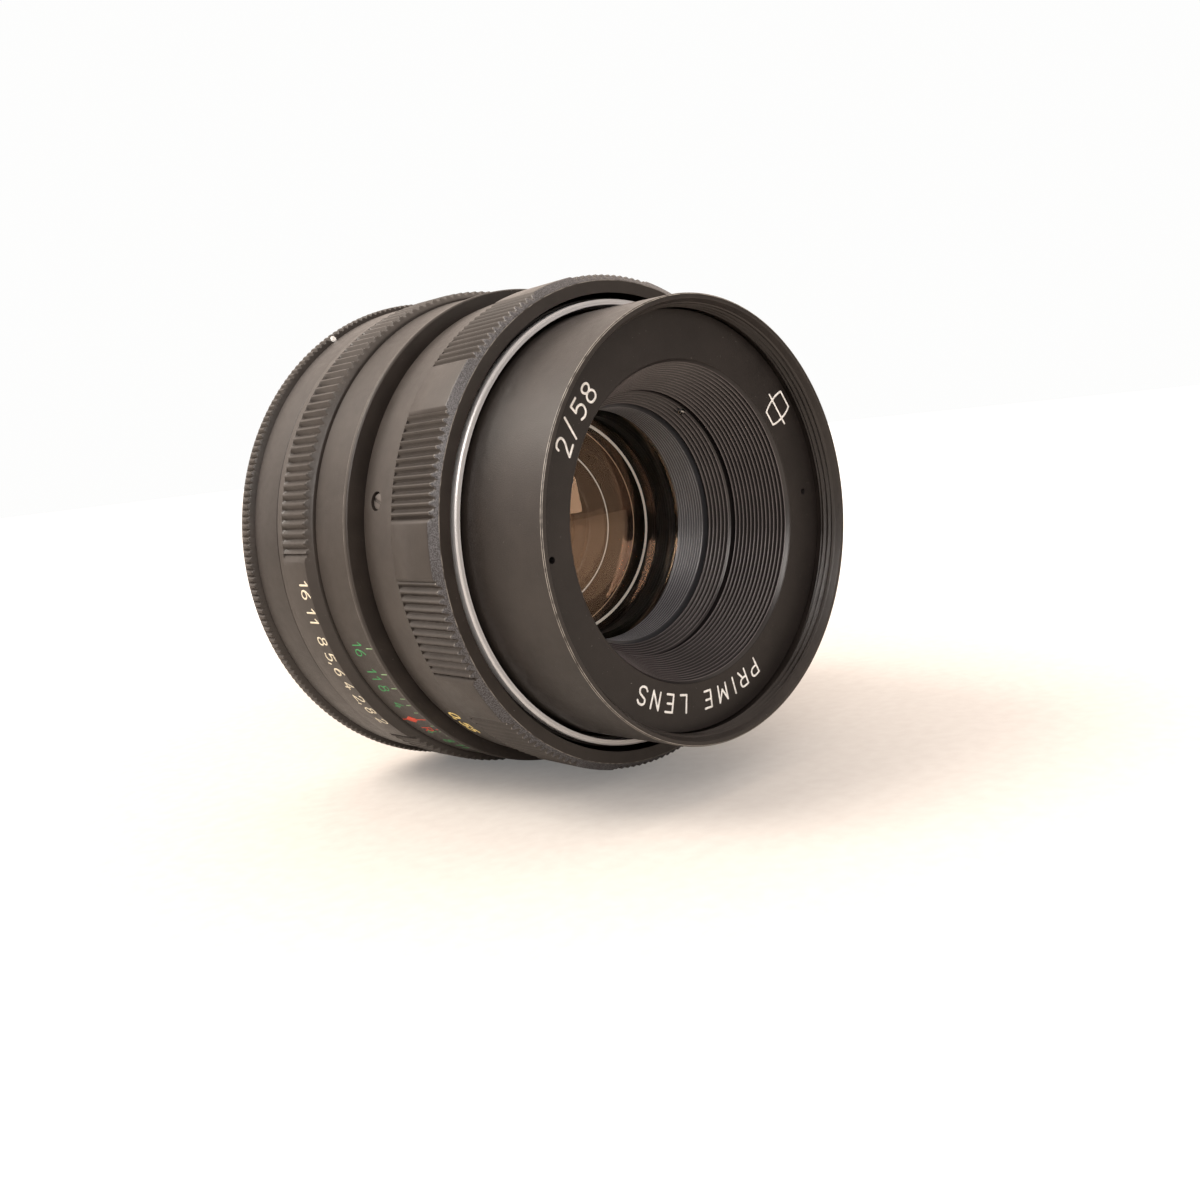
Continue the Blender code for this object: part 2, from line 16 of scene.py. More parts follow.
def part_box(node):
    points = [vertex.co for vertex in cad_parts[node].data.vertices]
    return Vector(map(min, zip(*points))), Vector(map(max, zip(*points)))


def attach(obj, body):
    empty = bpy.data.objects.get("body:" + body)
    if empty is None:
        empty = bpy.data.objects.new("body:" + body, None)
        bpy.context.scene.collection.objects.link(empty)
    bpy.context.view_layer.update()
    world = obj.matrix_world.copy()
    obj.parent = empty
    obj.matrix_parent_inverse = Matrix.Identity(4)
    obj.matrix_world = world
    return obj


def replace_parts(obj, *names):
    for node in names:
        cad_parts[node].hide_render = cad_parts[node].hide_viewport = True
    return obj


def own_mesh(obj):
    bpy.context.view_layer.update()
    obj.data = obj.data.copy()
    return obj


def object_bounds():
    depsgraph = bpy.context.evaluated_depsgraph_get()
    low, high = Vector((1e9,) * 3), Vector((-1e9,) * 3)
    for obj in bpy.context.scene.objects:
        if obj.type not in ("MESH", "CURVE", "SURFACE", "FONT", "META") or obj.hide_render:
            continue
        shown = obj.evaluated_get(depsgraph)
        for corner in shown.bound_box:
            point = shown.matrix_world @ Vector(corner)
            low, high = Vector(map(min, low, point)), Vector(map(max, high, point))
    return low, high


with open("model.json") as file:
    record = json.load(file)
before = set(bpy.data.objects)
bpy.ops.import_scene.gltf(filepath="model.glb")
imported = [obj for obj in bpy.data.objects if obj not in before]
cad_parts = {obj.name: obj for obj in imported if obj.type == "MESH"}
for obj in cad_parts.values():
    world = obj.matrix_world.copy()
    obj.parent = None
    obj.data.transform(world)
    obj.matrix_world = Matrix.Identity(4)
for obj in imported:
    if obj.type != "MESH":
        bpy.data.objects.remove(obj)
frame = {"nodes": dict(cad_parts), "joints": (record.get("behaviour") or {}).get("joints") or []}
cad_low, cad_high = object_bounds()

MM = 0.001
RIM_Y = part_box("front_tube")[0].y
FINE = 288                      # facets round a visible ring
PLAIN = 120                     # facets round a hidden ring
SHARP = 38.0                    # faces that meet at more degrees than this keep a hard edge
RIDGE_SHARP = 24.0              # the same on the knurled rings
RIB_POINTS = 7                  # points of the profile for each rib of a ribbed wall
CREST_FACES = 4                 # faces of each rib that make up its crest

# Control rings: angles in degrees round the axis, lengths in millimetres
INDEX_ANGLE = -134.0            # red index line of the depth scale
PAD_COUNT = 10                  # smooth pads of the focusing ring
PAD_PHASE = 20.0                # middle of the first pad
PAD_HALF = 6.8
RIDGES = 11                     # ridges between two pads
NUMBER_PANEL = (-140.8, -88.0)  # smooth panel of the aperture ring
APERTURES = ("16", "11", "8", "5,6", "4", "2,8", "2")
FIRST_APERTURE = -95.8
APERTURE_STEP = -6.1
MODE_TEETH = 236
FOCUS_THROW = 210.0
FOCAL_LENGTH = 58.0
NEAREST = 550.0                 # closest focus, measured from the film
DEPTH_PER_STOP = 1.45           # degrees of the depth scale for each unit of f-number

# Places that several pieces share: stations and radii in millimetres, angles in degrees
NAME_FACE = 3.5                 # station of the printed face of the name ring
FILTER_PITCH = 0.75
SCREW_STATION = 25.4
SCREW_ANGLES = (-77.0, 43.0, 163.0)
MOUNT_SCREW_ANGLES = (0.0, 120.0, 240.0)
MOUNT_SCREW_R = 26.6
PIN = (17.4, 180.0)             # radius and angle of the stop-down pin
CLICK = (31.65, -40.0)          # radius and angle of the click ball's pocket
KEY_ANGLES = (-150.0, -15.0)
FORK_SWEEP = (40.5, 79.5)       # angles between which the aperture fork moves


# ---- geometry helpers ----
def at(station, radius, angle):
    """Point in metres at a station, a radius and an angle."""
    turn = radians(angle)
    return Vector((radius * MM * sin(turn), RIM_Y + station * MM, radius * MM * cos(turn)))


def add(name, data):
    made = bpy.data.objects.new(name, data)
    bpy.context.scene.collection.objects.link(made)
    return made


def link(name, mesh, look):
    """Add a mesh to the scene as a piece. Its look names a material, the body that it rides on and a slot,
    which is not used.
    """
    kind, body, slot = look.split()
    made = add(name, mesh)
    mesh.materials.append(FINISH[kind])
    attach(made, body)
    return made


def smooth(mesh, angle=SHARP, weld=False):
    """Face the skin outwards and shade its rounds smooth. A weld joins the columns that meet on the axis."""
    bm = bmesh.new()
    bm.from_mesh(mesh)
    if weld:
        bmesh.ops.remove_doubles(bm, verts=bm.verts, dist=1e-7)
    bmesh.ops.recalc_face_normals(bm, faces=bm.faces)
    bm.to_mesh(mesh)
    bm.free()
    mesh.shade_smooth()
    mesh.set_sharp_from_angle(angle=radians(angle))


def grid_faces(rows, count, round_ring, round_loop, caps):
    """Faces over a grid of points, which may close along each index and have capped ends."""
    faces = []
    for row in range(rows if round_loop else rows - 1):
        here, below = row * count, (row + 1) % rows * count
        for column in range(count if round_ring else count - 1):
            beside = (column + 1) % count
            faces.append((here + column, below + column, below + beside, here + beside))
    if caps:
        faces.append(tuple(range(count)))
        faces.append(tuple((rows - 1) * count + column for column in reversed(range(count))))
    return faces


def skin(name, rings, wear=None, round_ring=True, round_loop=True, caps=False, angle=SHARP):
    """Mesh over a grid of points. rings[i][j] joins its neighbours along both indexes."""
    grid = np.array(rings, dtype=float)
    points = [tuple(point) for point in grid.reshape(-1, 3)]
    mesh = bpy.data.meshes.new(name)
    mesh.from_pydata(points, [], grid_faces(*grid.shape[:2], round_ring, round_loop, caps))
    if wear is not None:
        worn = mesh.attributes.new("wear", 'FLOAT', 'POINT')
        worn.data.foreach_set("value", np.array(wear, dtype=np.float32).reshape(-1))
    smooth(mesh, angle)
    return mesh


def soften(profile, radius, worn=()):
    """Round each corner of a closed (station, radius) loop. Corners near the worn spots get edge wear."""
    points = []
    wear = []
    count = len(profile)
    for index in range(count):
        corner = Vector(profile[index])
        into = Vector(profile[index - 1]) - corner
        out = Vector(profile[(index + 1) % count]) - corner
        apart = into.length > 1e-6 and out.length > 1e-6
        turn = degrees(into.angle(-out, 0.0)) if apart else 0.0
        if turn < 20.0:
            points.append(tuple(corner))
            wear.append(0.0)
            continue
        reach = min(radius, 0.4 * into.length, 0.4 * out.length)
        start = corner + into.normalized() * reach
        stop = corner + out.normalized() * reach
        for step in range(5):
            part = step / 4
            spot = start * (1 - part) ** 2 + corner * 2 * part * (1 - part) + stop * part ** 2
            points.append(tuple(spot))
            rubbed = any(dist(corner, spot) < 0.3 for spot in worn)
            wear.append((0.0, 0.7, 1.0, 0.7, 0.0)[step] * rubbed)
    return points, wear


def even_angles(steps, edges=()):
    """Evenly spaced angles, with a close pair added at each edge."""
    angles = [360.0 * step / steps - 180.0 for step in range(steps)]
    for edge in edges:
        wrapped = (edge + 180.0) % 360.0 - 180.0
        angles = [angle for angle in angles if abs(angle - wrapped) > 0.15]
        angles += [wrapped - 0.04, wrapped + 0.04]
    return sorted(angles)


def spin(loop, angles, shape=None):
    """Grid of points round the axis. shape(station, radius, angle) may move each of them."""
    move = shape or (lambda station, radius, angle: (station, radius))
    return [[at(*move(*point, angle), angle) for point in loop] for angle in angles]


def turned(name, profile, look, steps=FINE, bevel=0.12, angles=None, shape=None, worn=()):
    """Ring turned from a closed profile, with rounded corners unless the bevel is zero."""
    loop, wear = soften(profile, bevel, worn) if bevel else (profile, [0.0] * len(profile))
    angles = angles or even_angles(steps)
    return link(name, skin(name, spin(loop, angles, shape), [wear] * len(angles)), look)


def knurled(node, stations, angles, shape, look):
    """Ring with ridges, already round at its corners, which stands for a CAD node."""
    name = f"{node}_smooth"
    ring = link(name, skin(name, spin(stations, angles, shape), angle=RIDGE_SHARP), look)
    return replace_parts(ring, node)


def cad_profile(node, angle=0.0):
    """Closed (station, radius) loop, or axis-to-axis path, of a turned CAD node at one of its columns."""
    mesh = frame["nodes"][node].data
    found = {}
    member = {}
    for vertex in mesh.vertices:
        x, y, z = vertex.co
        radius = hypot(x, z) / MM
        turn = degrees(atan2(x, z))
        if radius > 0.01 and abs((turn - angle + 180.0) % 360.0 - 180.0) > 0.05:
            continue
        key = (round((y - RIM_Y) / MM, 3), round(radius, 3))
        found.setdefault(key, set())
        member[vertex.index] = key
    for edge in mesh.edges:
        first, second = (member.get(index) for index in edge.vertices)
        if first and second and first != second:
            found[first].add(second)
            found[second].add(first)
    ends = sorted(key for key, joined in found.items() if len(joined) == 1)
    here = ends[0] if ends else sorted(found)[0]
    path = [here]
    while True:
        ahead = [key for key in sorted(found[here]) if key not in path]
        if not ahead:
            return path
        here = ahead[0]
        path.append(here)


def respun(node, look, angle=0.0, steps=PLAIN, bevel=0.08, worn=()):
    """Smooth copy of a turned CAD node, which it stands for."""
    made = turned(f"{node}_smooth", cad_profile(node, angle), look, steps, bevel, worn=worn)
    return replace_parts(made, node)


def rod(name, points, look, sides=32):
    """Round rod through (point, radius in mm) pairs on one straight line."""
    axis = (points[-1][0] - points[0][0]).normalized()
    across = axis.orthogonal().normalized()
    beside = axis.cross(across)
    turns = [tau * side / sides for side in range(sides)]
    rings = [[centre + (across * cos(t) + beside * sin(t)) * radius * MM for t in turns]
             for centre, radius in points]
    return link(name, skin(name, rings, round_loop=False, caps=True), look)


def along_axis(radius, angle, stack):
    """Points of a rod that lies parallel to the axis, from (station, rod radius) pairs."""
    return [(at(station, radius, angle), width) for station, width in stack]


def fork_window(name, radii, stations, look):
    """Block to cut with, a little wider than the sweep of the aperture fork."""
    (front, rear), (inner, outer) = stations, radii
    low, high = FORK_SWEEP[0] - 6.0, FORK_SWEEP[1] + 6.0
    rings = spin([(front, inner), (front, outer), (rear, outer), (rear, inner)],
                 [low + (high - low) * step / 12 for step in range(13)])
    return link(name, skin(name, rings, round_loop=False, caps=True), look)


def cut(piece, tools):
    """Cut closed tools out of a piece, for good, and remove the tools."""
    for tool in tools:
        change = piece.modifiers.new(tool.name, 'BOOLEAN')
        change.operation = 'DIFFERENCE'
        change.solver = 'EXACT'
        change.object = tool
        bpy.context.view_layer.update()
        final = bpy.data.meshes.new_from_object(piece.evaluated_get(bpy.context.evaluated_depsgraph_get()))
        piece.modifiers.clear()
        piece.data = final
        bpy.data.objects.remove(tool)
    piece.data.shade_smooth()
    piece.data.set_sharp_from_angle(angle=radians(SHARP))
    return piece


def wave(phase):
    """Triangle wave from 0 at a crest to 1 in a groove, one period for each unit of phase."""
    return 1.0 - abs((phase % 1.0) * 2.0 - 1.0)


def comb(profile_from, profile_to, pitch, depth, tip=0.07):
    """Points of a ribbed wall between two (station, radius) points: round crests, grooves cut outwards."""
    length = profile_to[0] - profile_from[0]
    slope = (profile_to[1] - profile_from[1]) / length
    count = round(length / pitch)
    step = length / count
    points = []
    for rib in range(count):
        start = profile_from[0] + rib * step
        crest = [(0.27 * step + tip * sin(turn), tip * (1.0 - cos(turn)))
                 for turn in map(radians, (-72, -36, 0, 36, 72))]
        for along, drop in crest + [(0.66 * step, depth), (0.86 * step, depth)]:
            station = start + along
            points.append((station, profile_from[1] + slope * (station - profile_from[0]) + drop))
    return points


# ---- materials ----
def put(node, **values):
    """Set constants straight on a node's sockets. An underscore stands for a space in a socket's name."""
    for socket, value in values.items():
        value = (*value, 1.0) if isinstance(value, tuple) else value
        node.inputs[socket.replace("_", " ")].default_value = value


def new_node(tree, kind, operation=None, **values):
    made = tree.nodes.new(f"ShaderNode{kind}")
    if operation:
        made.operation = operation
    put(made, **values)
    return made


def node_material(name, **values):
    made = bpy.data.materials.new(name)
    made.use_nodes = True
    shader = made.node_tree.nodes["Principled BSDF"]
    put(shader, **values)
    return made, made.node_tree, shader


def noise(tree, scale, detail=3.0):
    """Noise in object space, with the scale in cycles for each metre."""
    where = new_node(tree, "TexCoord")
    texture = new_node(tree, "TexNoise", Scale=scale, Detail=detail)
    tree.links.new(where.outputs["Object"], texture.inputs["Vector"])
    return texture.outputs["Fac"]


def ramp(tree, value, stops):
    """Colour ramp through (place, value or colour) stops."""
    made = new_node(tree, "ValToRGB")
    tree.links.new(value, made.inputs["Fac"])
    elements = made.color_ramp.elements
    while len(elements) < len(stops):
        elements.new(0.5)
    for element, (place, colour) in zip(elements, stops):
        element.position = place
        element.color = (*colour, 1.0) if isinstance(colour, tuple) else (colour, colour, colour, 1.0)
    return made.outputs["Color"]


def shade(tree, shader, socket, value, *stops):
    """Drive a socket of the shader with a colour ramp through (place, value or colour) stops."""
    tree.links.new(ramp(tree, value, stops), shader.inputs[socket])


def blend_colour(tree, share, first, second):
    made = new_node(tree, "Mix")
    made.data_type = 'RGBA'
    tree.links.new(share, made.inputs["Factor"])
    for socket, colour in ((made.inputs[6], first), (made.inputs[7], second)):
        if isinstance(colour, tuple):
            socket.default_value = (*colour, 1.0)
        else:
            tree.links.new(colour, socket)
    return made.outputs[2]


def multiply(tree, first, second):
    made = new_node(tree, "Math", 'MULTIPLY')
    tree.links.new(first, made.inputs[0])
    if isinstance(second, float):
        made.inputs[1].default_value = second
    else:
        tree.links.new(second, made.inputs[1])
    return made.outputs[0]


def bump(tree, shader, height, distance):
    made = new_node(tree, "Bump", Distance=distance, Strength=1.0)
    tree.links.new(height, made.inputs["Height"])
    tree.links.new(made.outputs["Normal"], shader.inputs["Normal"])


def smooth_range(tree, value, low, high, least=0.0):
    """Share from least to 1 as a value goes from low to high."""
    made = new_node(tree, "MapRange", From_Min=low, From_Max=high, To_Min=least)
    made.interpolation_type = 'SMOOTHSTEP'
    tree.links.new(value, made.inputs["Value"])
    return made.outputs["Result"]


def enamel(name, dark, light, roughness, worn=0.5, gloss=0.5):
    """Sprayed black enamel: mottled colour, fine grain, dust specks and bright metal on worn edges."""
    made, tree, shader = node_material(name, Specular_IOR_Level=gloss)
    mottle = ramp(tree, noise(tree, 260.0, 4.0), ((0.3, dark), (0.7, light)))
    dust = ramp(tree, noise(tree, 5200.0, 1.0), ((0.79, 0.0), (0.81, 1.0)))
    dusty = blend_colour(tree, dust, mottle, (0.16, 0.15, 0.14))
    edge = new_node(tree, "Attribute")
    edge.attribute_name = "wear"
    patchy = ramp(tree, noise(tree, 1100.0, 5.0), ((worn - 0.12, 0.12), (worn + 0.10, 1.0)))
    bare = multiply(tree, edge.outputs["Fac"], patchy)
    tree.links.new(blend_colour(tree, bare, dusty, (0.42, 0.39, 0.35)), shader.inputs["Base Color"])
    shade(tree, shader, "Roughness", noise(tree, 900.0), (0.3, roughness[0]), (0.7, roughness[1]))
    bump(tree, shader, noise(tree, 9000.0, 2.0), 0.00002)
    return made


def metal(name, colour, roughness, marks_per_metre=9000.0, grain=0.000004, metallic=1.0):
    """Turned metal with fine tool marks in circles round the lens's axis."""
    made, tree, shader = node_material(name, Metallic=metallic)
    where, split, flat, spot = (new_node(tree, kind)
                                for kind in ("TexCoord", "SeparateXYZ", "CombineXYZ", "CombineXYZ"))
    out = new_node(tree, "VectorMath", 'LENGTH')
    texture = new_node(tree, "TexNoise", Scale=marks_per_metre, Detail=2.0)
    for start, output, end, place in (
            (where, "Object", split, "Vector"), (split, "X", flat, "X"), (split, "Z", flat, "Z"),
            (flat, "Vector", out, 0), (out, "Value", spot, "X"), (split, "Y", spot, "Y"),
            (spot, "Vector", texture, "Vector")):
        tree.links.new(start.outputs[output], end.inputs[place])
    marks = texture.outputs["Fac"]
    shade(tree, shader, "Base Color", marks, (0.3, tuple(0.80 * part for part in colour)), (0.7, colour))
    shade(tree, shader, "Roughness", noise(tree, 350.0), (0.3, roughness * 0.85), (0.7, roughness * 1.2))
    bump(tree, shader, marks, grain)
    return made


def blacking(name, colour, roughness, gloss):
    """Even black finish of the inner parts; the lighter versions of it are painted highlights along rib
    crests.
    """
    made, tree, shader = node_material(name, Roughness=roughness, Specular_IOR_Level=gloss)
    thin = tuple(0.8 * part for part in colour)
    shade(tree, shader, "Base Color", noise(tree, 220.0, 2.0), (0.35, thin), (0.65, colour))
    return made


def milled_paint(name):
    """Black paint over a chattered cut: a dense grey-blue speckle."""
    made, tree, shader = node_material(name)
    speckle = noise(tree, 7500.0, 2.0)
    shade(tree, shader, "Base Color", speckle, (0.40, (0.025, 0.024, 0.026)), (0.62, (0.100, 0.098, 0.106)))
    shade(tree, shader, "Roughness", noise(tree, 3000.0), (0.3, 0.28), (0.7, 0.50))
    bump(tree, shader, speckle, 0.00005)
    return made


def paint(name, colour):
    """Filling paint of an engraved mark, slightly uneven."""
    made, tree, shader = node_material(name, Roughness=0.55)
    thin = tuple(0.72 * part for part in colour)
    shade(tree, shader, "Base Color", noise(tree, 2600.0), (0.32, thin), (0.55, colour))
    bump(tree, shader, noise(tree, 7000.0), 0.00001)
    return made


def painted_glow_edge(name, colour):
    """Finely ground edge of an element with a painted glow: it emits light of its own colour, so that it
    shows bright through the glass.
    """
    return node_material(name, Base_Color=colour, Roughness=0.7, Emission_Color=colour,
                         Emission_Strength=0.45)[0]


def optical_glass(name, tint, coating):
    """Polished element with a coating whose reflection is tinted. Its body tint darkens what is seen through
    it; the darker tints are painted shade.
    """
    made, tree, shader = node_material(name, Transmission_Weight=1.0, IOR=1.58, Specular_IOR_Level=0.34,
                                       Specular_Tint=coating)
    wipe = noise(tree, 90.0)
    shade(tree, shader, "Base Color", wipe, (0.4, tuple(0.97 * part for part in tint)), (0.6, tint))
    shade(tree, shader, "Roughness", wipe, (0.4, 0.002), (0.7, 0.008))
    return made


def make_materials():
    made = {
        "enamel": enamel("satin_enamel", (0.0150, 0.0120, 0.0106), (0.0225, 0.0180, 0.0158), (0.36, 0.44),
                         worn=0.43),
        "ring": enamel("ring_enamel", (0.022, 0.0178, 0.0153), (0.032, 0.0258, 0.0220), (0.38, 0.46)),
        "face": enamel("face_enamel", (0.0150, 0.0124, 0.0114), (0.0200, 0.0165, 0.0152), (0.36, 0.44),
                       gloss=0.35),
        "matt": blacking("inner_matt_paint", (0.016, 0.0138, 0.0140), 0.34, 0.60),
        # the lighter crest paints are painted highlights along the rib crests
        "crest": blacking("rib_crest_painted_highlight", (0.105, 0.091, 0.094), 0.34, 0.75),
        "well": blacking("cell_blacking", (0.008, 0.0066, 0.006), 0.45, 0.30),
        "ribs": blacking("fine_rib_paint", (0.042, 0.043, 0.048), 0.32, 0.7),
        "fine_crest_highlight": blacking("fine_crest_painted_highlight", (0.200, 0.198, 0.210), 0.32, 0.75),
        "milled": milled_paint("milled_chamfer"),
        "silver": metal("bright_trim", (0.76, 0.76, 0.77), 0.34, 7000.0, 0.000020, 0.35),
        "alloy": metal("plain_alloy", (0.56, 0.56, 0.57), 0.30),
        "brass": metal("greased_brass", (0.62, 0.45, 0.20), 0.34),
        "steel": metal("bright_steel", (0.52, 0.51, 0.50), 0.26),
        "dark_steel": metal("blackened_steel", (0.16, 0.15, 0.145), 0.34),
        "blade": metal("blued_blade", (0.26, 0.255, 0.26), 0.36),
        # the darker glass tints are painted shade: they dim what is seen through the lens
        "glass": optical_glass("front_glass", (0.94, 0.90, 0.85), (1.0, 0.66, 0.42)),
        "amber_glass": optical_glass("amber_glass", (0.80, 0.72, 0.66), (0.94, 0.58, 0.42)),
        "dark_glass": optical_glass("shade_darkened_glass", (0.30, 0.25, 0.21), (0.80, 0.55, 0.85)),
        # painted glow: both ground edge materials emit light of their own colour
        "ground": painted_glow_edge("ground_edge_painted_glow", (0.90, 0.84, 0.76)),
        "warm_ground": painted_glow_edge("warm_ground_edge_painted_glow", (0.90, 0.66, 0.46)),
    }
    for name, colour in (("white", (0.95, 0.95, 0.93)), ("cream", (0.78, 0.72, 0.56)),
                         ("yellow", (0.95, 0.74, 0.26)), ("green", (0.05, 0.36, 0.11)),
                         ("pale_green", (0.30, 0.50, 0.26)), ("red", (0.72, 0.07, 0.03))):
        made[name] = paint(f"{name}_paint", colour)
    return made


FINISH = make_materials()


# ---- front tube, name ring and hood ----
def in_span(angle, spans):
    """Whether an angle lies in one of the spans."""
    return any(0.0 < (angle - low) % 360.0 < high - low for low, high in spans)


def make_front_tube():
    """Front tube with its filter thread inside the rim and the slots of its skirt."""
    inner_front = [(3.32, 26.0)] + [(0.72 + step * FILTER_PITCH / 8, 26.0) for step in range(26, -1, -1)]
    outer = [(0.0, 26.35), (0.0, 26.86), (0.14, 27.0)]
    rest = [point for point in order_from(cad_profile("front_tube", 9.0), (0.2, 27.0)) if point[0] > 0.3]
    slots = [(angle - 4.0, angle + 4.0) for angle in KEY_ANGLES]
    window = [(FORK_SWEEP[0] - 7.0, FORK_SWEEP[1] + 7.0)]

    def shape(station, radius, angle):
        if 0.7 < station < 3.3 and 25.9 < radius < 26.1:
            fade = max(0.0, min(1.0, (station - 0.7) / 0.3, (3.2 - station) / 0.3))
            crest = 1.0 - wave((station - FILTER_PITCH * angle / 360.0) / FILTER_PITCH)
            radius -= 0.36 * fade * crest ** 0.8
        if station > 27.4 and in_span(angle, slots):
            station = 27.4
        if station > 33.5 and in_span(angle, window):
            station = 33.5
        return station, radius

    angles = even_angles(FINE, [edge for span in slots + window for edge in span])
    tube = turned("front_tube_smooth", outer + rest + inner_front, "enamel barrel satin_black",
                  angles=angles, bevel=0.05, shape=shape, worn=((0.14, 27.0),))
    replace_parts(tube, "front_tube")


def order_from(loop, start):
    """The same closed loop, begun at the point nearest to start and run towards the rear."""
    nearest = min(range(len(loop)), key=lambda index: dist(loop[index], start))
    turned_loop = loop[nearest:] + loop[:nearest]
    if turned_loop[1][0] < turned_loop[-1][0]:
        turned_loop = turned_loop[:1] + turned_loop[:0:-1]
    return turned_loop


def paint_crest_highlights(ring, ribbed, count, kind):
    """Give the crests of a ribbed wall, the first points of a profile, a lighter paint: a painted highlight
    along each crest.
    """
    ring.data.materials.append(FINISH[kind])
    crest = len(ring.data.materials) - 1
    for face in ring.data.polygons:
        column = face.index % count
        if column < ribbed and column % RIB_POINTS < CREST_FACES:
            face.material_index = crest


def make_name_ring():
    """Flat printed ring that runs back into a ribbed cone, with two spanner holes."""
    ribs = comb((3.98, 19.42), (10.8, 16.6), 0.49, 0.36)
    back = [(10.9, 17.6), (4.9, 20.4), (4.9, 25.6), (NAME_FACE, 25.6), (NAME_FACE, 19.78), (3.6, 19.68)]
    ring = turned("name_ring_smooth", ribs + back, "face barrel matt_black", bevel=0.0)
    ring.data.materials.append(FINISH["matt"])
    for face in ring.data.polygons:
        inside = hypot(face.center.x, face.center.z) < 19.6 * MM
        face.material_index = 1 if inside and face.center.y > RIM_Y + 3.7 * MM else 0
    # painted highlight: the rib crests get the lighter crest paint
    paint_crest_highlights(ring, len(ribs), len(ribs + back), "crest")
    hole = ((2.5, 0.42), (3.45, 0.42), (4.4, 0.36))
    cut(ring, [rod(f"spanner_tool_{number}", along_axis(22.9, angle, hole), "matt barrel matt_black")
               for number, angle in enumerate((87.0, -93.0), 1)])
    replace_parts(ring, "name_ring")


def ribbed_wall(node, ribs, back, kind, crest):
    """Ring with a ribbed inner wall, whose crests get a lighter paint as a painted highlight."""
    ring = turned(f"{node}_smooth", ribs + back, f"{kind} barrel matt_black", bevel=0.0)
    paint_crest_highlights(ring, len(ribs), len(ribs + back), crest)
    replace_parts(ring, node)


def make_hood():
    """Second ribbed ring, its locking screw, and the fine-ribbed ring in front of the glass."""
    # both ribbed walls get a painted highlight on their crests
    ribbed_wall("hood_ring", comb((11.55, 16.72), (14.4, 15.24), 0.45, 0.32),
                [(14.45, 15.6), (14.45, 18.7), (11.4, 18.7), (11.4, 16.9)], "matt", "crest")
    steel = "steel barrel bright_steel"
    angle = 35.0
    screw = rod("hood_lock_screw", [(at(11.95, 17.0, angle), 0.45), (at(11.75, 16.35, angle), 0.45),
                                    (at(11.72, 16.25, angle), 0.30)], steel)
    slot = along_axis(16.22, angle, ((11.0, 0.13), (12.5, 0.13)))
    cut(screw, [rod("lock_slot_tool", slot, steel, sides=4)])
    ribbed_wall("front_element_ring", comb((14.9, 15.0), (19.45, 15.0), 0.45, 0.20),
                [(19.5, 15.1), (19.5, 16.9), (14.85, 16.9), (14.85, 15.1)], "ribs", "fine_crest_highlight")


# ---- optics and iris ----
def make_elements():
    """Four polished groups turned smooth: two single elements and two cemented pairs.

    Each face is a vertex station, a radius of curvature and a reach from the axis.
    """
    groups = {
        "front_meniscus": ((16.9, 41.0, 15.6), (22.2, 110.0, 15.6), 16.0, "glass"),
        "front_doublet": ((22.6, 25.5, 13.8), (31.8, 16.5, 10.9), 13.8, "amber_glass"),
        "rear_doublet": ((44.4, -18.5, 10.6), (54.4, -28.0, 12.2), 12.2, "dark_glass"),
        "rear_element": ((54.9, 120.0, 12.6), (59.4, -49.0, 12.6), 12.6, "dark_glass"),
    }
    for group, (*faces, rim, kind) in groups.items():
        front, back = (sphere_points(*face) for face in faces)
        for points, face in zip((front, back), faces):
            if face[2] < rim:
                points.append((points[-1][0], rim))
        mesh = skin(f"{group}_smooth", spin(front + back[::-1], even_angles(128)), round_ring=False)
        smooth(mesh, weld=True)
        made = link(f"{group}_smooth", mesh, f"{kind} barrel coated_glass")
        stands_for = [f"{group}_crown", f"{group}_flint"] if "doublet" in group else [group]
        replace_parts(made, *stands_for)


def make_bevels():
    """Pale ground bevels at the edges of two elements, seen as thin arcs through the front glass; their paint
    has a painted glow that makes the arcs bright.
    """
    for name, station, radius, half, kind in (("cement_line_bevel", 32.0, 11.9, 0.20, "ground"),
                                              ("flint_edge_bevel", 35.95, 10.90, 0.08, "warm_ground")):
        rear = station + 0.12
        low, high = radius - half, radius + half
        profile = [(station, low), (station, high), (rear, high), (rear, low)]
        turned(name, profile, f"{kind} barrel coated_glass", 160, 0.0)


def sphere_points(vertex, curve, reach, count=14):
    """Points of a spherical face from the axis outwards; a positive curve bulges to the front."""
    points = []
    for step in range(count + 1):
        height = reach * step / count
        sag = abs(curve) - sqrt(curve * curve - height * height)
        points.append((vertex + copysign(sag, curve), height))
    return points


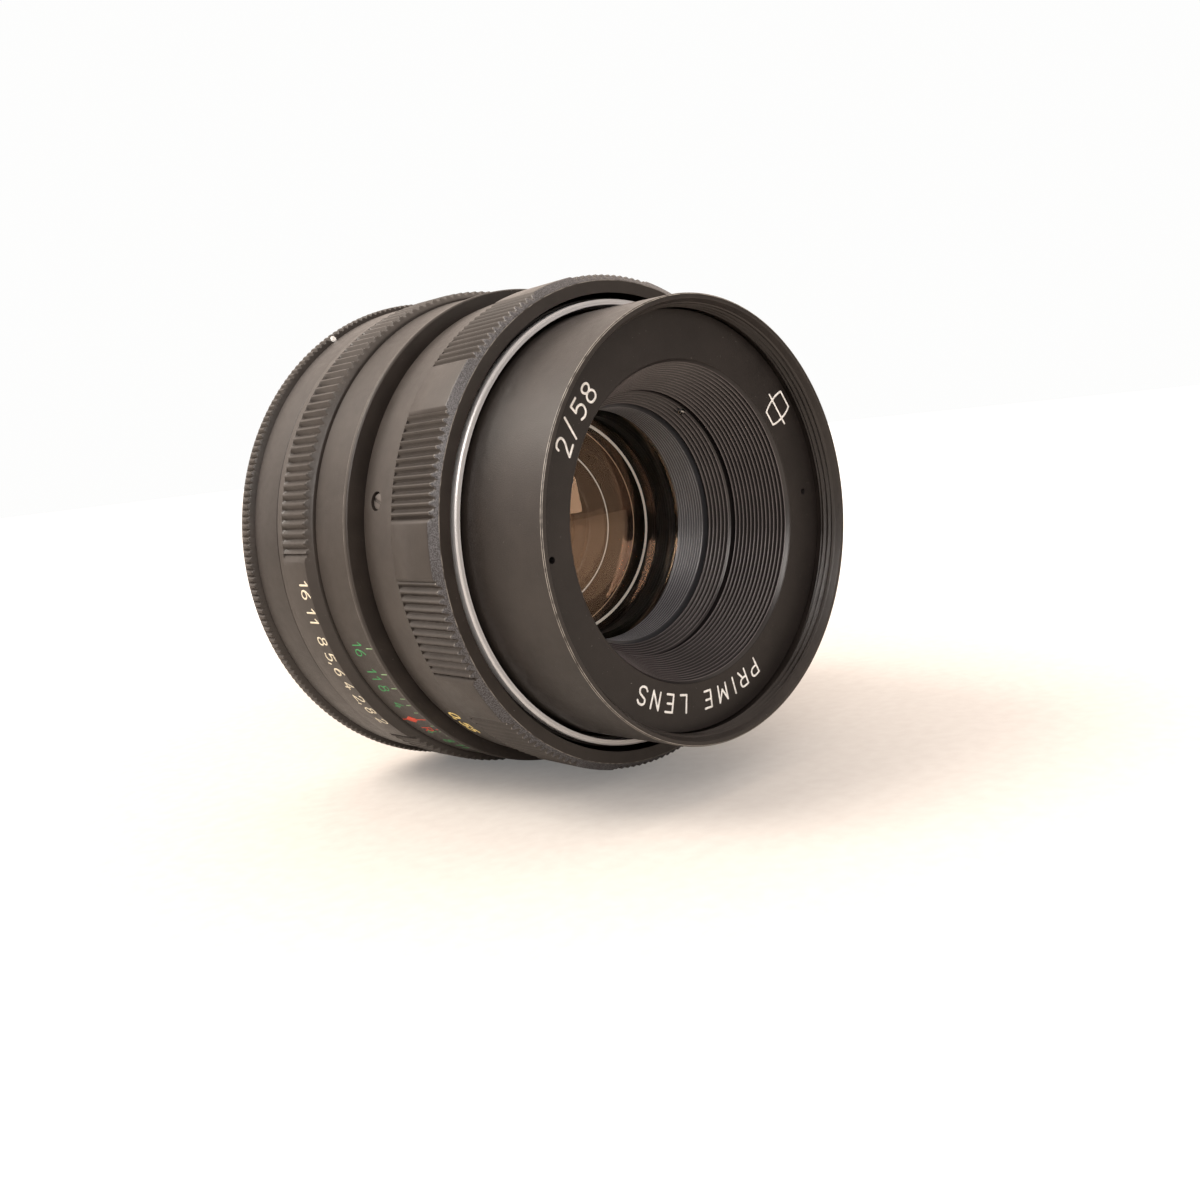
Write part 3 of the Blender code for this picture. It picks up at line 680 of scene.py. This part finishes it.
def make_blades():
    """Eight thin blades with smooth inner edges, each on its own level and hinge."""
    joints = {joint["child"]: joint for joint in frame["joints"]}
    pivot_radius, edge, outer, thick, pitch = 17.6, 10.45, 16.6, 0.15, 0.32
    outline = [polar(edge, angle) for angle in np.arange(-4.0, 118.1, 2.0)]
    outline += [polar(12.0, 120.5), polar(14.0, 121.5), polar(15.8, 119.5)]
    outline += [polar(outer, angle) for angle in np.arange(116.0, 8.0, -4.0)]
    ear = [polar(1.2, angle) for angle in range(80, -81, -20)]
    outline += [(pivot_radius + along, across) for along, across in ear]
    for number in range(1, 9):
        body = f"blade_{number}"
        turn = Matrix.Rotation(radians(45.0 * (number - 1) - 3.47), 4, 'Y')
        place = Matrix.Translation(Vector(joints[body]["pos_m"])) @ turn
        rings = [[place @ (Vector((-across, depth, along - pivot_radius)) * MM) for along, across in outline]
                 for depth in (0.0, thick)]
        name = f"iris_blade_{number}"
        blade = link(f"{name}_smooth", skin(f"{name}_smooth", rings, round_loop=False, caps=True),
                     f"blade {body} blade_steel")
        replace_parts(blade, name)
        pin_start = place @ Vector((0.0, (-0.20 - pitch * (number - 1)) * MM, 0.0))
        pin_end = place @ Vector((0.0, thick * MM + 0.00002, 0.0))
        rod(f"blade_pin_{number}", [(pin_start, 0.45), (pin_end, 0.45)],
            f"steel {body} blade_steel", sides=16)


def polar(radius, angle):
    return radius * cos(radians(angle)), radius * sin(radians(angle))


def make_inner_rings():
    """Cells, spacers, housings and rings that are turned and stay inside the barrel."""
    for node in ("front_cell", "front_spacer", "rear_cell", "rear_spacer", "rear_retaining_ring"):
        respun(node, "well barrel matt_black")
    helicoid = respun("helicoid_ring", "brass focus helicoid_brass", 9.0)
    helicoid.data.materials.append(FINISH["well"])
    for face in helicoid.data.polygons:
        outward = face.normal.x * face.center.x + face.normal.z * face.center.z
        face.material_index = 1 if outward > 0.01 or face.normal.y < -0.5 else 0
    matt = "matt barrel matt_black"
    window = fork_window("housing_window_tool", (20.0, 23.0), (39.7, 41.9), matt)
    cut(respun("iris_housing", matt, 120.0), [window])


# ---- focusing ring ----
def make_focus_ring():
    """Grip ring with ten smooth pads, eleven ridges between each pair, and a plain scale band."""
    stations = [(13.25, 28.9), (13.1, 29.05), (13.1, 30.5), (13.1, 30.56), (13.13, 30.62), (13.2, 30.7),
                (13.4, 30.9), (13.6, 31.1), (13.8, 31.3), (13.95, 31.45), (14.02, 31.52), (14.2, 31.55),
                (17.8, 31.5), (21.4, 31.42), (21.58, 31.36), (21.72, 31.2), (21.78, 31.04), (21.95, 31.02),
                (25.0, 30.84), (28.1, 30.62), (28.3, 30.55), (28.4, 30.42), (28.4, 28.9)]
    period = 360.0 / PAD_COUNT
    group = period - 2 * PAD_HALF
    pitch = group / (RIDGES + 0.5)

    def past_pad(angle):
        return (angle - PAD_PHASE + period / 2) % period - period / 2

    def shape(station, radius, angle):
        if not 13.2 < station < 21.75:
            return station, radius
        chamfer = 30.6 + 1.0 * (station - 13.1)
        from_pad = past_pad(angle)
        if abs(from_pad) <= PAD_HALF:
            slope = min(1.0, (PAD_HALF - abs(from_pad)) / 1.1)
            high = min(chamfer, 31.55 - 0.02 * (station - 14.0) - 0.42 * (1.0 - slope) ** 1.3)
        else:
            along = ((from_pad - PAD_HALF) % period) / pitch
            ridge = min(1.0, max(0.0, 1.5 * wave(along) - 0.25))
            high = min(chamfer, 31.42 - 0.017 * (station - 14.0) - 0.48 * (1.0 - ridge))
        if station > 21.45:
            high = min(high, 31.02 + 0.4 * (21.8 - station) / 0.35)
        return station, high

    angles = []
    reaches = (0.0, 0.3, 0.6, 0.9, 1.08, 1.25)
    for pad in range(PAD_COUNT):
        middle = PAD_PHASE + period * pad
        start = middle + PAD_HALF
        angles += [middle - PAD_HALF + reach for reach in reaches]
        angles += [middle + PAD_HALF * share for share in (-0.6, -0.2, 0.2, 0.6)]
        angles += [start - reach for reach in reversed(reaches)]
        for ridge in range(RIDGES + 1):
            spots = [start + (ridge + share) * pitch
                     for share in (0.13, 0.26, 0.37, 0.5, 0.63, 0.74, 0.87, 1.0)]
            angles += [spot for spot in spots if spot < start + group - 0.05]
    wear = []
    for angle in angles:
        worn = [0.0] * len(stations)
        worn[3:5] = (0.5, 0.5)
        if shape(*stations[9], angle)[1] > 31.3 and abs(past_pad(angle)) > PAD_HALF:
            worn[9] = 1.0
        wear.append(worn)
    mesh = skin("focus_ring_smooth", spin(stations, angles, shape), wear, angle=RIDGE_SHARP)
    ring = link("focus_ring_smooth", mesh, "ring focus satin_black")
    mesh.materials.append(FINISH["milled"])
    for face in mesh.polygons:
        station = (face.center.y - RIM_Y) / MM
        radius = hypot(face.center.x, face.center.z) / MM
        if 13.11 < station < 14.1 and radius > 30.6 and face.normal.y < -0.4:
            face.material_index = 1
    holes = [[(at(SCREW_STATION, radius, angle), 1.16) for radius in (28.0, 32.5)] for angle in SCREW_ANGLES]
    cut(ring, [rod(f"set_screw_tool_{number}", hole, "steel focus satin_black")
               for number, hole in enumerate(holes, 1)])
    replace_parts(ring, "focus_ring")


def make_set_screws():
    """Slotted screws that hold the focusing ring on the helicoid."""
    tilt = radians(24.0)
    for number, angle in enumerate(SCREW_ANGLES, 1):
        stack = [(28.9, 0.8), (29.1, 1.0), (30.4, 1.0), (30.52, 0.93), (30.56, 0.8)]
        screw = rod(f"set_screw_{number}_smooth", [(at(SCREW_STATION, radius, angle), width)
                                                   for radius, width in stack],
                    "dark_steel focus bright_steel")
        ends = [(at(SCREW_STATION + reach * cos(tilt), 30.62,
                    angle + degrees(reach * sin(tilt) / 30.8)), 0.26) for reach in (-1.6, 1.6)]
        cut(screw, [rod(f"screw_slot_tool_{number}", ends, "steel focus bright_steel", sides=4)])
        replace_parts(screw, f"set_screw_{number}")


def make_trim():
    """Bright turned ring between the front tube and the focusing ring."""
    profile = [(13.2, 27.6), (13.2, 28.1), (13.35, 28.3), (14.5, 28.3), (14.5, 27.55), (13.3, 27.55)]
    ring = turned("trim_ring_smooth", profile, "silver focus bright_aluminium", bevel=0.05)
    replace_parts(ring, "trim_ring")


# ---- fixed rings and the base ----
def make_base():
    """Depth-scale ring and the smooth base body behind the aperture ring."""
    respun("depth_scale_ring", "ring base satin_black", 27.0, FINE, 0.08, ((30.4, 32.2),))
    black = "enamel base satin_black"
    tube = respun("base_tube", black, 27.0, FINE, 0.10)
    pocket = rod("click_pocket_tool", along_axis(*CLICK, ((44.15, 0.95), (50.4, 0.95))), black)
    cut(tube, [fork_window("base_window_tool", (24.0, 33.5), (42.0, 44.9), black), pocket])


def make_aperture_ring():
    """Knurled ring with a smooth number panel that stands slightly above the grooves."""
    stations = [(37.2, 30.6), (37.2, 32.24), (37.24, 32.34), (37.45, 32.55), (37.7, 32.8), (37.95, 33.05),
                (38.2, 33.28), (38.35, 33.3), (40.8, 33.3), (43.1, 33.3), (43.3, 33.28), (43.42, 33.2),
                (43.6, 33.1), (44.2, 33.08), (44.72, 33.05), (44.85, 32.93), (44.85, 30.6)]
    low, high = NUMBER_PANEL
    ridges = round((360.0 - (high - low)) / 2.15)
    pitch = (360.0 - (high - low)) / ridges

    def shape(station, radius, angle):
        if not 37.3 < station < 43.5:
            return station, radius
        chamfer = 32.3 + 1.0 * (station - 37.2)
        if in_span(angle, [NUMBER_PANEL]):
            edge = min((angle - low) % 360.0, (high - angle) % 360.0)
            return station, min(radius, chamfer, 32.85 + 0.26 * edge)
        ridge = min(1.0, 1.16 * wave((angle - high) % 360.0 / pitch + 0.5))
        runout = min(1.0, (43.5 - station) / 0.35)
        return station, min(chamfer, 33.2 - 0.45 * (1.0 - ridge) * runout)

    angles = [low + (high - low) * step / 40 for step in range(2, 39)]
    angles += [low + 0.04, low + 0.9, low + 1.75, high - 0.04, high - 0.9, high - 1.75]
    for ridge in range(ridges):
        angles += [high + (ridge + share) * pitch
                   for share in (0.02, 0.07, 0.21, 0.36, 0.5, 0.64, 0.79, 0.93)]
    angles.append(high + ridges * pitch - 0.04)
    angles = sorted((angle + 180.0) % 360.0 - 180.0 for angle in angles)
    knurled("aperture_ring", stations, angles, shape, "ring aperture satin_black")


def make_mode_ring():
    """Finely knurled ring of the automatic and manual switch."""
    stations = [(51.3, 31.1), (51.3, 32.0), (51.34, 32.15), (51.76, 33.25), (51.86, 33.45), (51.98, 33.56),
                (52.1, 33.6), (53.15, 33.6), (53.38, 33.55), (53.75, 33.36), (55.9, 32.28), (56.0, 32.15),
                (56.0, 31.1)]

    def shape(station, radius, angle):
        if 51.7 < station < 53.6:
            tooth = min(1.0, 1.35 * wave(angle / 360.0 * MODE_TEETH))
            return station, min(radius, 33.6 - 0.36 * (1.0 - tooth))
        return station, radius

    steps = MODE_TEETH * 6
    angles = [360.0 * step / steps - 180.0 for step in range(steps)]
    knurled("mode_ring", stations, angles, shape, "ring mode satin_black")


def make_mount():
    """Mounting plate with its screw thread, screws and holes."""
    alloy = "alloy base plain_aluminium"
    steel = "steel base bright_steel"
    profile = [(56.6, 16.1), (56.6, 30.8), (57.9, 30.8), (59.0, 29.4), (59.0, 20.5)]
    profile += [(59.3 + step / 8, 20.85) for step in range(31)]
    profile += [(63.5, 20.35), (63.5, 18.9), (58.2, 18.9), (58.2, 16.1)]

    def shape(station, radius, angle):
        if 59.25 < station < 63.3 and radius > 20.7:
            fade = min(1.0, (63.35 - station) / 0.5)
            return station, radius - 0.5 * wave(station - angle / 360.0) * fade - 0.3 * (1.0 - fade)
        return station, radius

    plate = turned("mount_plate_smooth", profile, alloy, bevel=0.05, shape=shape)
    seat = ((53.0, 1.1), (57.6, 1.1), (58.5, 2.0), (60.0, 2.0))
    tools = [rod("pin_hole_tool", along_axis(*PIN, ((55.0, 0.9), (60.0, 0.9))), alloy)]
    tools += [rod(f"seat_tool_{number}", along_axis(MOUNT_SCREW_R, angle, seat), alloy)
              for number, angle in enumerate(MOUNT_SCREW_ANGLES, 1)]
    cut(plate, tools)
    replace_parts(plate, "mount_plate")
    stack = ((54.9, 0.7), (55.1, 0.8), (57.7, 0.8), (58.5, 1.66), (58.8, 1.7), (58.9, 1.6))
    for number, angle in enumerate(MOUNT_SCREW_ANGLES, 1):
        screw = rod(f"mount_screw_{number}_smooth", along_axis(MOUNT_SCREW_R, angle, stack), steel)
        slot = [(at(58.95, radius, angle), 0.30) for radius in (24.0, 29.0)]
        cut(screw, [rod(f"mount_slot_tool_{number}", slot, steel, sides=4)])
        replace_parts(screw, f"mount_screw_{number}")


def coil(name, base, length, radius, wire, look, turns=6):
    """Round-wire coil spring along the axis."""
    rings = []
    steps = turns * 20
    spins = [tau * side / 8 for side in range(8)]
    for step in range(steps + 1):
        turn = tau * step / 20
        outward = Vector((cos(turn), 0.0, sin(turn)))
        centre = base + outward * radius * MM + Vector((0.0, length * MM * step / steps, 0.0))
        rings.append([centre + (outward * cos(s) + Vector((0.0, sin(s), 0.0))) * wire * MM
                      for s in spins])
    return link(name, skin(name, rings, round_loop=False, caps=True, angle=70.0), look)


def make_small_parts():
    """Springs, pin, lever, keys and the other plain mechanism pieces."""
    steel = "steel base bright_steel"
    spring = coil("pin_spring_smooth", at(58.5, *PIN), 4.1, 1.0, 0.13, steel)
    tuple(at(58.4, *PIN))
    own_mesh(spring)
    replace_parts(spring, "pin_spring")
    click = coil("click_spring_smooth", at(46.75, *CLICK), 3.2, 0.45, 0.12, steel)
    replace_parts(click, "click_spring")
    stack = ((55.3, 1.0), (55.4, 1.1), (56.0, 1.1), (56.1, 0.6), (62.9, 0.6), (62.95, 1.15), (63.05, 1.2),
             (63.8, 1.2), (63.9, 1.1), (63.95, 0.72), (64.8, 0.68), (64.95, 0.55), (65.0, 0.3))
    pin = rod("stop_pin_smooth", along_axis(*PIN, stack), "steel stop_pin bright_steel")
    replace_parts(pin, "stop_pin")
    plain = {"guide_key_1": "brass", "guide_key_2": "brass", "click_ball": "steel", "lever_pivot": "steel",
             "stop_lever": "steel", "aperture_fork": "steel", "iris_drive_ring": "alloy"}
    for node, kind in plain.items():
        mesh = frame["nodes"][node].data
        mesh.materials.clear()
        mesh.materials.append(FINISH[kind])


# ---- engraved marks ----
# Strokes of each letter, split by |, through across,up points in hundredths of the letter's height
GLYPHS = {
    "0": "30,100 8,85 3,50 8,15 30,0 52,15 57,50 52,85 30,100",
    "1": "12,74 36,100 | 36,100 36,0",
    "2": "5,78 12,94 30,100 50,92 55,72 44,48 20,22 3,0 | 3,0 58,0",
    "4": "36,100 3,30 | 3,30 60,30 | 42,56 42,0",
    "5": "54,100 12,100 | 12,100 8,56 | 8,56 30,64 52,54 58,32 48,8 26,0 4,8",
    "6": "46,100 20,74 5,42 6,16 22,1 42,2 56,18 55,42 38,57 18,52 6,36",
    "7": "4,100 57,100 | 57,100 22,0",
    "8": "30,100 12,93 8,76 18,59 30,55 42,59 52,76 48,93 30,100 | 30,55 11,47 3,27 11,6 30,0 49,6 57,27 "
         "49,47 30,55",
    ",": "10,8 3,-14",
    "/": "2,-6 44,106",
    "E": "6,0 6,100 | 6,100 52,100 | 6,52 44,52 | 6,0 52,0",
    "I": "12,0 12,100",
    "L": "6,100 6,0 | 6,0 50,0",
    "M": "5,0 5,100 | 5,100 34,30 | 34,30 63,100 | 63,100 63,0",
    "N": "6,0 6,100 | 6,100 56,0 | 56,0 56,100",
    "P": "6,0 6,100 | 6,100 38,100 54,88 54,62 38,48 6,48",
    "R": "6,0 6,100 | 6,100 38,100 54,88 54,62 38,48 6,48 | 32,48 56,0",
    "S": "52,84 40,98 20,99 7,86 10,64 30,53 50,40 54,17 40,2 18,1 4,16",
    "m": "5,0 5,64 | 5,46 18,64 32,58 34,40 34,0 | 34,40 46,64 60,58 63,40 63,0",
    "~": "44,50 28,72 8,66 4,50 8,34 28,28 44,50 60,72 80,66 84,50 80,34 60,28 44,50",
}
WIDTHS = {"1": 0.50, ",": 0.26, "/": 0.56, "I": 0.34, "M": 0.82, "m": 0.82, "~": 1.0, " ": 0.50}


def line(*ends):
    return [Vector(end) for end in ends]


def curve_through(points, steps=5):
    """Smooth path through the points of a stroke; a stroke of two points stays straight."""
    if len(points) < 3:
        return line(*points)
    known = line(*points)
    closed = (known[0] - known[-1]).length < 1e-6
    before = known[-2] if closed else known[0] * 2 - known[1]
    after = known[1] if closed else known[-1] * 2 - known[-2]
    chain = [before] + known + [after]
    path = []
    for index in range(1, len(chain) - 2):
        p0, p1, p2, p3 = chain[index - 1:index + 3]
        for step in range(steps):
            t = step / steps
            path.append(0.5 * (2 * p1 + (p2 - p0) * t + (2 * p0 - 5 * p1 + 4 * p2 - p3) * t * t
                               + (3 * p1 - p0 - 3 * p2 + p3) * t ** 3))
    path.append(known[-1])
    return path


def stroke_rings(path, width, depth):
    """Flattened round bead along a path: rings of (across, up, height) points with round ends."""
    section = [(cos(radians(a)), max(sin(radians(a)), -0.6)) for a in range(0, 360, 45)]
    rounding = [(0.35, 0.94), (0.70, 0.71), (0.98, 0.20)]
    rings = []
    last = len(path) - 1
    for index, spot in enumerate(path):
        tangent = (path[min(index + 1, last)] - path[max(index - 1, 0)]).normalized()
        normal = Vector((-tangent.y, tangent.x))
        head = [(-shift, scale) for shift, scale in reversed(rounding)] if index == 0 else []
        tail = rounding if index == last else []
        for shift, scale in head + [(0.0, 1.0)] + tail:
            centre = spot + tangent * shift * width / 2
            rings.append([(*(centre + normal * across * scale * width / 2), height * depth * scale)
                          for across, height in section])
    return rings


def mark(name, strokes, width, place, look, depth=0.035):
    """One piece made of engraved strokes. place(across, up, height) gives the point in metres."""
    points = []
    faces = []
    for path in strokes:
        rings = stroke_rings(path, width, depth)
        grid = grid_faces(len(rings), len(rings[0]), True, False, True)
        faces += [tuple(len(points) + corner for corner in face) for face in grid]
        points += [tuple(place(*spot)) for ring in rings for spot in ring]
    mesh = bpy.data.meshes.new(name)
    mesh.from_pydata(points, [], faces)
    smooth(mesh, 60.0)
    link(name, mesh, look)


def text_strokes(text, height, gap=0.20, stretch=1.0):
    """Strokes of a line of text in millimetres, centred on zero and stretched along the line."""
    strokes = []
    pen = 0.0
    for letter in text:
        for stroke in filter(None, GLYPHS.get(letter, "").split("|")):
            points = [[int(part) / 100 for part in point.split(",")] for point in stroke.split()]
            strokes.append([Vector(((pen + spot.x) * stretch, spot.y)) * height
                            for spot in curve_through(points)])
        pen += WIDTHS.get(letter, 0.60) + gap
    middle = Vector(((pen - gap) * height * stretch / 2, 0.0))
    return [[spot - middle for spot in stroke] for stroke in strokes]


def on_ring(angle, station, piece):
    """Places marks on a ring seen from outside, with the tops of the letters towards the front."""
    tree = BVHTree.FromPolygons([vertex.co for vertex in piece.data.vertices],
                                [tuple(face.vertices) for face in piece.data.polygons])

    def place(across, up, height):
        turn = angle - degrees(across / 32.0)
        far = at(station - up, 40.0, turn)
        inward = (at(station - up, 0.0, turn) - far).normalized()
        hit = tree.ray_cast(far, inward, 0.012)[0] or tree.find_nearest(at(station - up, 31.5, turn))[0]
        return hit - inward * height * MM
    return place


def on_face(angle, radius, station):
    """Places marks on a face seen from the front, with the tops of the letters outwards."""
    def place(across, up, height):
        return at(station - height, radius + up, angle + degrees(across / (radius + 1.1)))
    return place


def make_name_text():
    """Printing on the name ring: speed and focal length, what the lens is, and a lens-shaped emblem."""
    white = "white barrel matt_black"
    mark("speed_text", text_strokes("2/58", 2.25, 0.30, 1.22), 0.29, on_face(-51.0, 20.95, NAME_FACE), white)
    mark("name_text", text_strokes("PRIME LENS", 2.15, 0.34, 1.20), 0.28, on_face(183.0, 21.1, NAME_FACE),
         white)
    bulge = [Vector((0.80 + 0.75 * cos(radians(turn)), 2.40 * sin(radians(turn))))
             for turn in range(-60, 61, 12)]
    mirrored = [Vector((-spot.x, spot.y)) for spot in bulge]
    outline = [bulge, mirrored, [bulge[0], mirrored[0]], [bulge[-1], mirrored[-1]]]
    axis = [line((-2.45, 0.0), (2.45, 0.0))]
    mark("lens_emblem", outline + axis, 0.28, on_face(56.5, 22.75, NAME_FACE), white)


def make_aperture_numbers():
    ring = bpy.data.objects["aperture_ring_smooth"]
    for index, text in enumerate(APERTURES):
        mark(f"aperture_number_{index + 1}", text_strokes(text, 1.9, 0.18), 0.24,
             on_ring(FIRST_APERTURE + APERTURE_STEP * index, 40.4, ring),
             "cream aperture satin_black")


def make_depth_scale():
    """Depth-of-field marks on both sides of the index line, and the infrared mark."""
    ring = bpy.data.objects["depth_scale_ring_smooth"]
    pale_green, green, red = (f"{kind} base satin_black" for kind in ("pale_green", "green", "red"))
    ticks = []
    for stop in (2.0, 4.0, 5.6, 8.0, 11.0, 16.0):
        for sign in (-1, 1):
            across = sign * radians(DEPTH_PER_STOP * stop) * 32.0
            ticks.append(line((across, 0.0), (across, 1.7)))
    mark("depth_ticks", ticks, 0.15, on_ring(INDEX_ANGLE, 32.6, ring), pale_green, 0.025)
    for text in ("4", "8", "11", "16"):
        for sign, side in ((-1, "near"), (1, "far")):
            angle = INDEX_ANGLE + sign * DEPTH_PER_STOP * float(text)
            mark(f"depth_number_{text}_{side}", text_strokes(text, 1.75, 0.20), 0.15,
                 on_ring(angle, 35.1, ring), green, 0.025)
    mark("index_line", [line((0.0, 0.0), (0.0, 5.3))], 0.17, on_ring(INDEX_ANGLE, 36.7, ring), red)
    make_diamond(on_ring(INDEX_ANGLE, 36.0, ring), red)
    infra = INDEX_ANGLE - 4.6
    mark("infrared_line", [line((0.0, 0.0), (0.0, 1.7))], 0.15, on_ring(infra, 32.6, ring), red)
    mark("infrared_letter", text_strokes("R", 1.75), 0.16, on_ring(infra, 35.1, ring), red)


def make_diamond(place, look):
    """Red diamond of the index, a low lozenge on the ring."""
    section = ((-0.5, -0.02), (-0.5, 0.02), (-0.25, 0.035), (0.0, 0.04), (0.25, 0.035), (0.5, 0.02),
               (0.5, -0.02))
    widths = (0.1, 0.45, 0.85, 1.2, 1.5, 1.2, 0.85, 0.45, 0.1)
    rings = [[place(share * width, Vector((0.0, 0.3 * step)).y, height) for share, height in section]
             for step, width in enumerate(widths)]
    link("index_diamond", skin("index_diamond", rings, round_loop=False, caps=True, angle=60.0), look)


def extension(distance):
    """How far the glass stands forward of infinity, in mm, for a distance from the film."""
    reach = distance - 2 * FOCAL_LENGTH
    return (reach - sqrt(reach ** 2 - 4 * FOCAL_LENGTH ** 2)) / 2


def make_distance_scale():
    """Distance numbers round the focusing ring, spaced by how far the glass must move. ~ is infinity."""
    ring = bpy.data.objects["focus_ring_smooth"]
    yellow = "yellow focus satin_black"
    full = extension(NEAREST)
    spots = {"0,55": 550.0, "0,6": 600.0, "0,7": 700.0, "0,8": 800.0, "1": 1000.0, "1,2": 1200.0,
             "1,5": 1500.0, "2": 2000.0, "2,5": 2500.0, "4": 4000.0, "8": 8000.0, "~": None}
    for index, (text, distance) in enumerate(spots.items()):
        moved = 1.0 - (extension(distance) / full if distance else 0.0)
        angle = INDEX_ANGLE - 2.0 - FOCUS_THROW * moved
        mark(f"distance_number_{index + 1}", text_strokes(text, 1.9, 0.16), 0.33, on_ring(angle, 26.7, ring),
             yellow)
    mark("distance_unit", text_strokes("m", 1.6), 0.20, on_ring(INDEX_ANGLE - FOCUS_THROW - 13.0, 26.7, ring),
         yellow)


def make_mode_dot():
    """White dot on the front bevel of the mode ring."""
    dot = [Vector(polar(0.20, angle)) for angle in range(0, 361, 45)]

    def place(across, up, height):
        station = 51.74 + 0.45 * up - 0.89 * height
        return at(station, 33.14 + 0.89 * up + 0.45 * height, -29.5 - degrees(across / 33.2))

    mark("mode_dot", [dot], 0.52, place, "white mode satin_black", 0.08)


# ---- stage ----
def make_stage():
    """Pale floor under the lens, pale surroundings and soft lights."""
    floor_level = cad_low.z - 0.0002
    reach = 3.0
    corners = [(-reach, -reach), (reach, -reach), (reach, reach), (-reach, reach)]
    mesh = bpy.data.meshes.new("floor")
    mesh.from_pydata([(x, y, floor_level) for x, y in corners], [], [(0, 1, 2, 3)])
    floor = add("floor", mesh)
    made, tree, shader = node_material("pale_floor", Roughness=0.9, Emission_Color=(1.0, 0.99, 0.975))
    shade(tree, shader, "Base Color", noise(tree, 500.0), (0.3, (0.54, 0.50, 0.46)),
          (0.7, (0.58, 0.545, 0.505)))
    # Painted brightness: the floor glows for camera rays only, least near the lens and most far off, so that
    # far away it reads white.
    away = new_node(tree, "VectorMath", 'LENGTH')
    tree.links.new(new_node(tree, "TexCoord").outputs["Object"], away.inputs[0])
    fade = smooth_range(tree, away.outputs["Value"], 0.03, 0.28, 0.17)
    glow = multiply(tree, multiply(tree, fade, new_node(tree, "LightPath").outputs["Is Camera Ray"]), 0.9)
    tree.links.new(glow, shader.inputs["Emission Strength"])
    mesh.materials.append(made)

    world = bpy.data.worlds.new("pale_studio")
    world.use_nodes = True
    bpy.context.scene.world = world
    tree = world.node_tree
    facing = new_node(tree, "VectorMath", 'DOT_PRODUCT')
    facing.inputs[1].default_value = Vector((0.10, 0.72, 0.68)).normalized()
    tree.links.new(new_node(tree, "TexCoord").outputs["Generated"], facing.inputs[0])
    spread = smooth_range(tree, facing.outputs["Value"], -0.10, 0.85)
    sky = blend_colour(tree, spread, (0.10, 0.084, 0.076), (1.80, 1.53, 1.33))
    seen = blend_colour(tree, new_node(tree, "LightPath").outputs["Is Camera Ray"], sky, (0.985, 0.985, 0.98))
    background = tree.nodes["Background"]
    tree.links.new(seen, background.inputs["Color"])
    put(background, Strength=1.0)

    lamp("key_light", (-0.34, 0.16, 0.46), 0.26, 3.0, (1.0, 0.94, 0.86))
    lamp("fill_light", (-0.34, -0.40, 0.26), 0.30, 2.0, (1.0, 0.93, 0.88))
    lamp("glint_light", (0.20, -0.62, 0.12), 0.20, 0.60, (1.0, 0.90, 0.82))


def lamp(name, place, size, power, colour):
    """Square soft light that points at the lens."""
    data = bpy.data.lights.new(name, 'AREA')
    data.size = size
    data.energy = power
    data.color = colour
    made = add(name, data)
    made.location = place
    made.rotation_mode = 'QUATERNION'
    made.rotation_quaternion = (Vector((0.0, -0.03, 0.0)) - Vector(place)).to_track_quat('-Z', 'Y')


def make_camera():
    """Camera close to the front left of the lens, a little above its axis and rolled slightly."""
    data = bpy.data.cameras.new("camera")
    data.lens = 36.0
    data.sensor_width = 36.0
    data.clip_start = 0.005
    made = add("camera", data)
    forward = Vector((0.6743, 0.7257, -0.1367)).normalized()
    up = Vector((0.1736, 0.0242, 0.9845))
    right = forward.cross(up).normalized()
    true_up = right.cross(forward)
    turn = Matrix((right, true_up, -forward)).transposed().to_4x4()
    made.matrix_world = Matrix.Translation((-0.1083, -0.1544, 0.0119)) @ turn
    bpy.context.scene.camera = made


def main():
    make_camera()
    make_stage()
    for build in (make_front_tube, make_name_ring, make_hood, make_elements, make_bevels, make_blades,
                  make_inner_rings, make_focus_ring, make_set_screws, make_trim, make_base,
                  make_aperture_ring, make_mode_ring, make_mount, make_small_parts, make_name_text,
                  make_aperture_numbers, make_depth_scale, make_distance_scale, make_mode_dot):
        build()
    bpy.context.scene.view_settings.view_transform = 'Standard'


main()
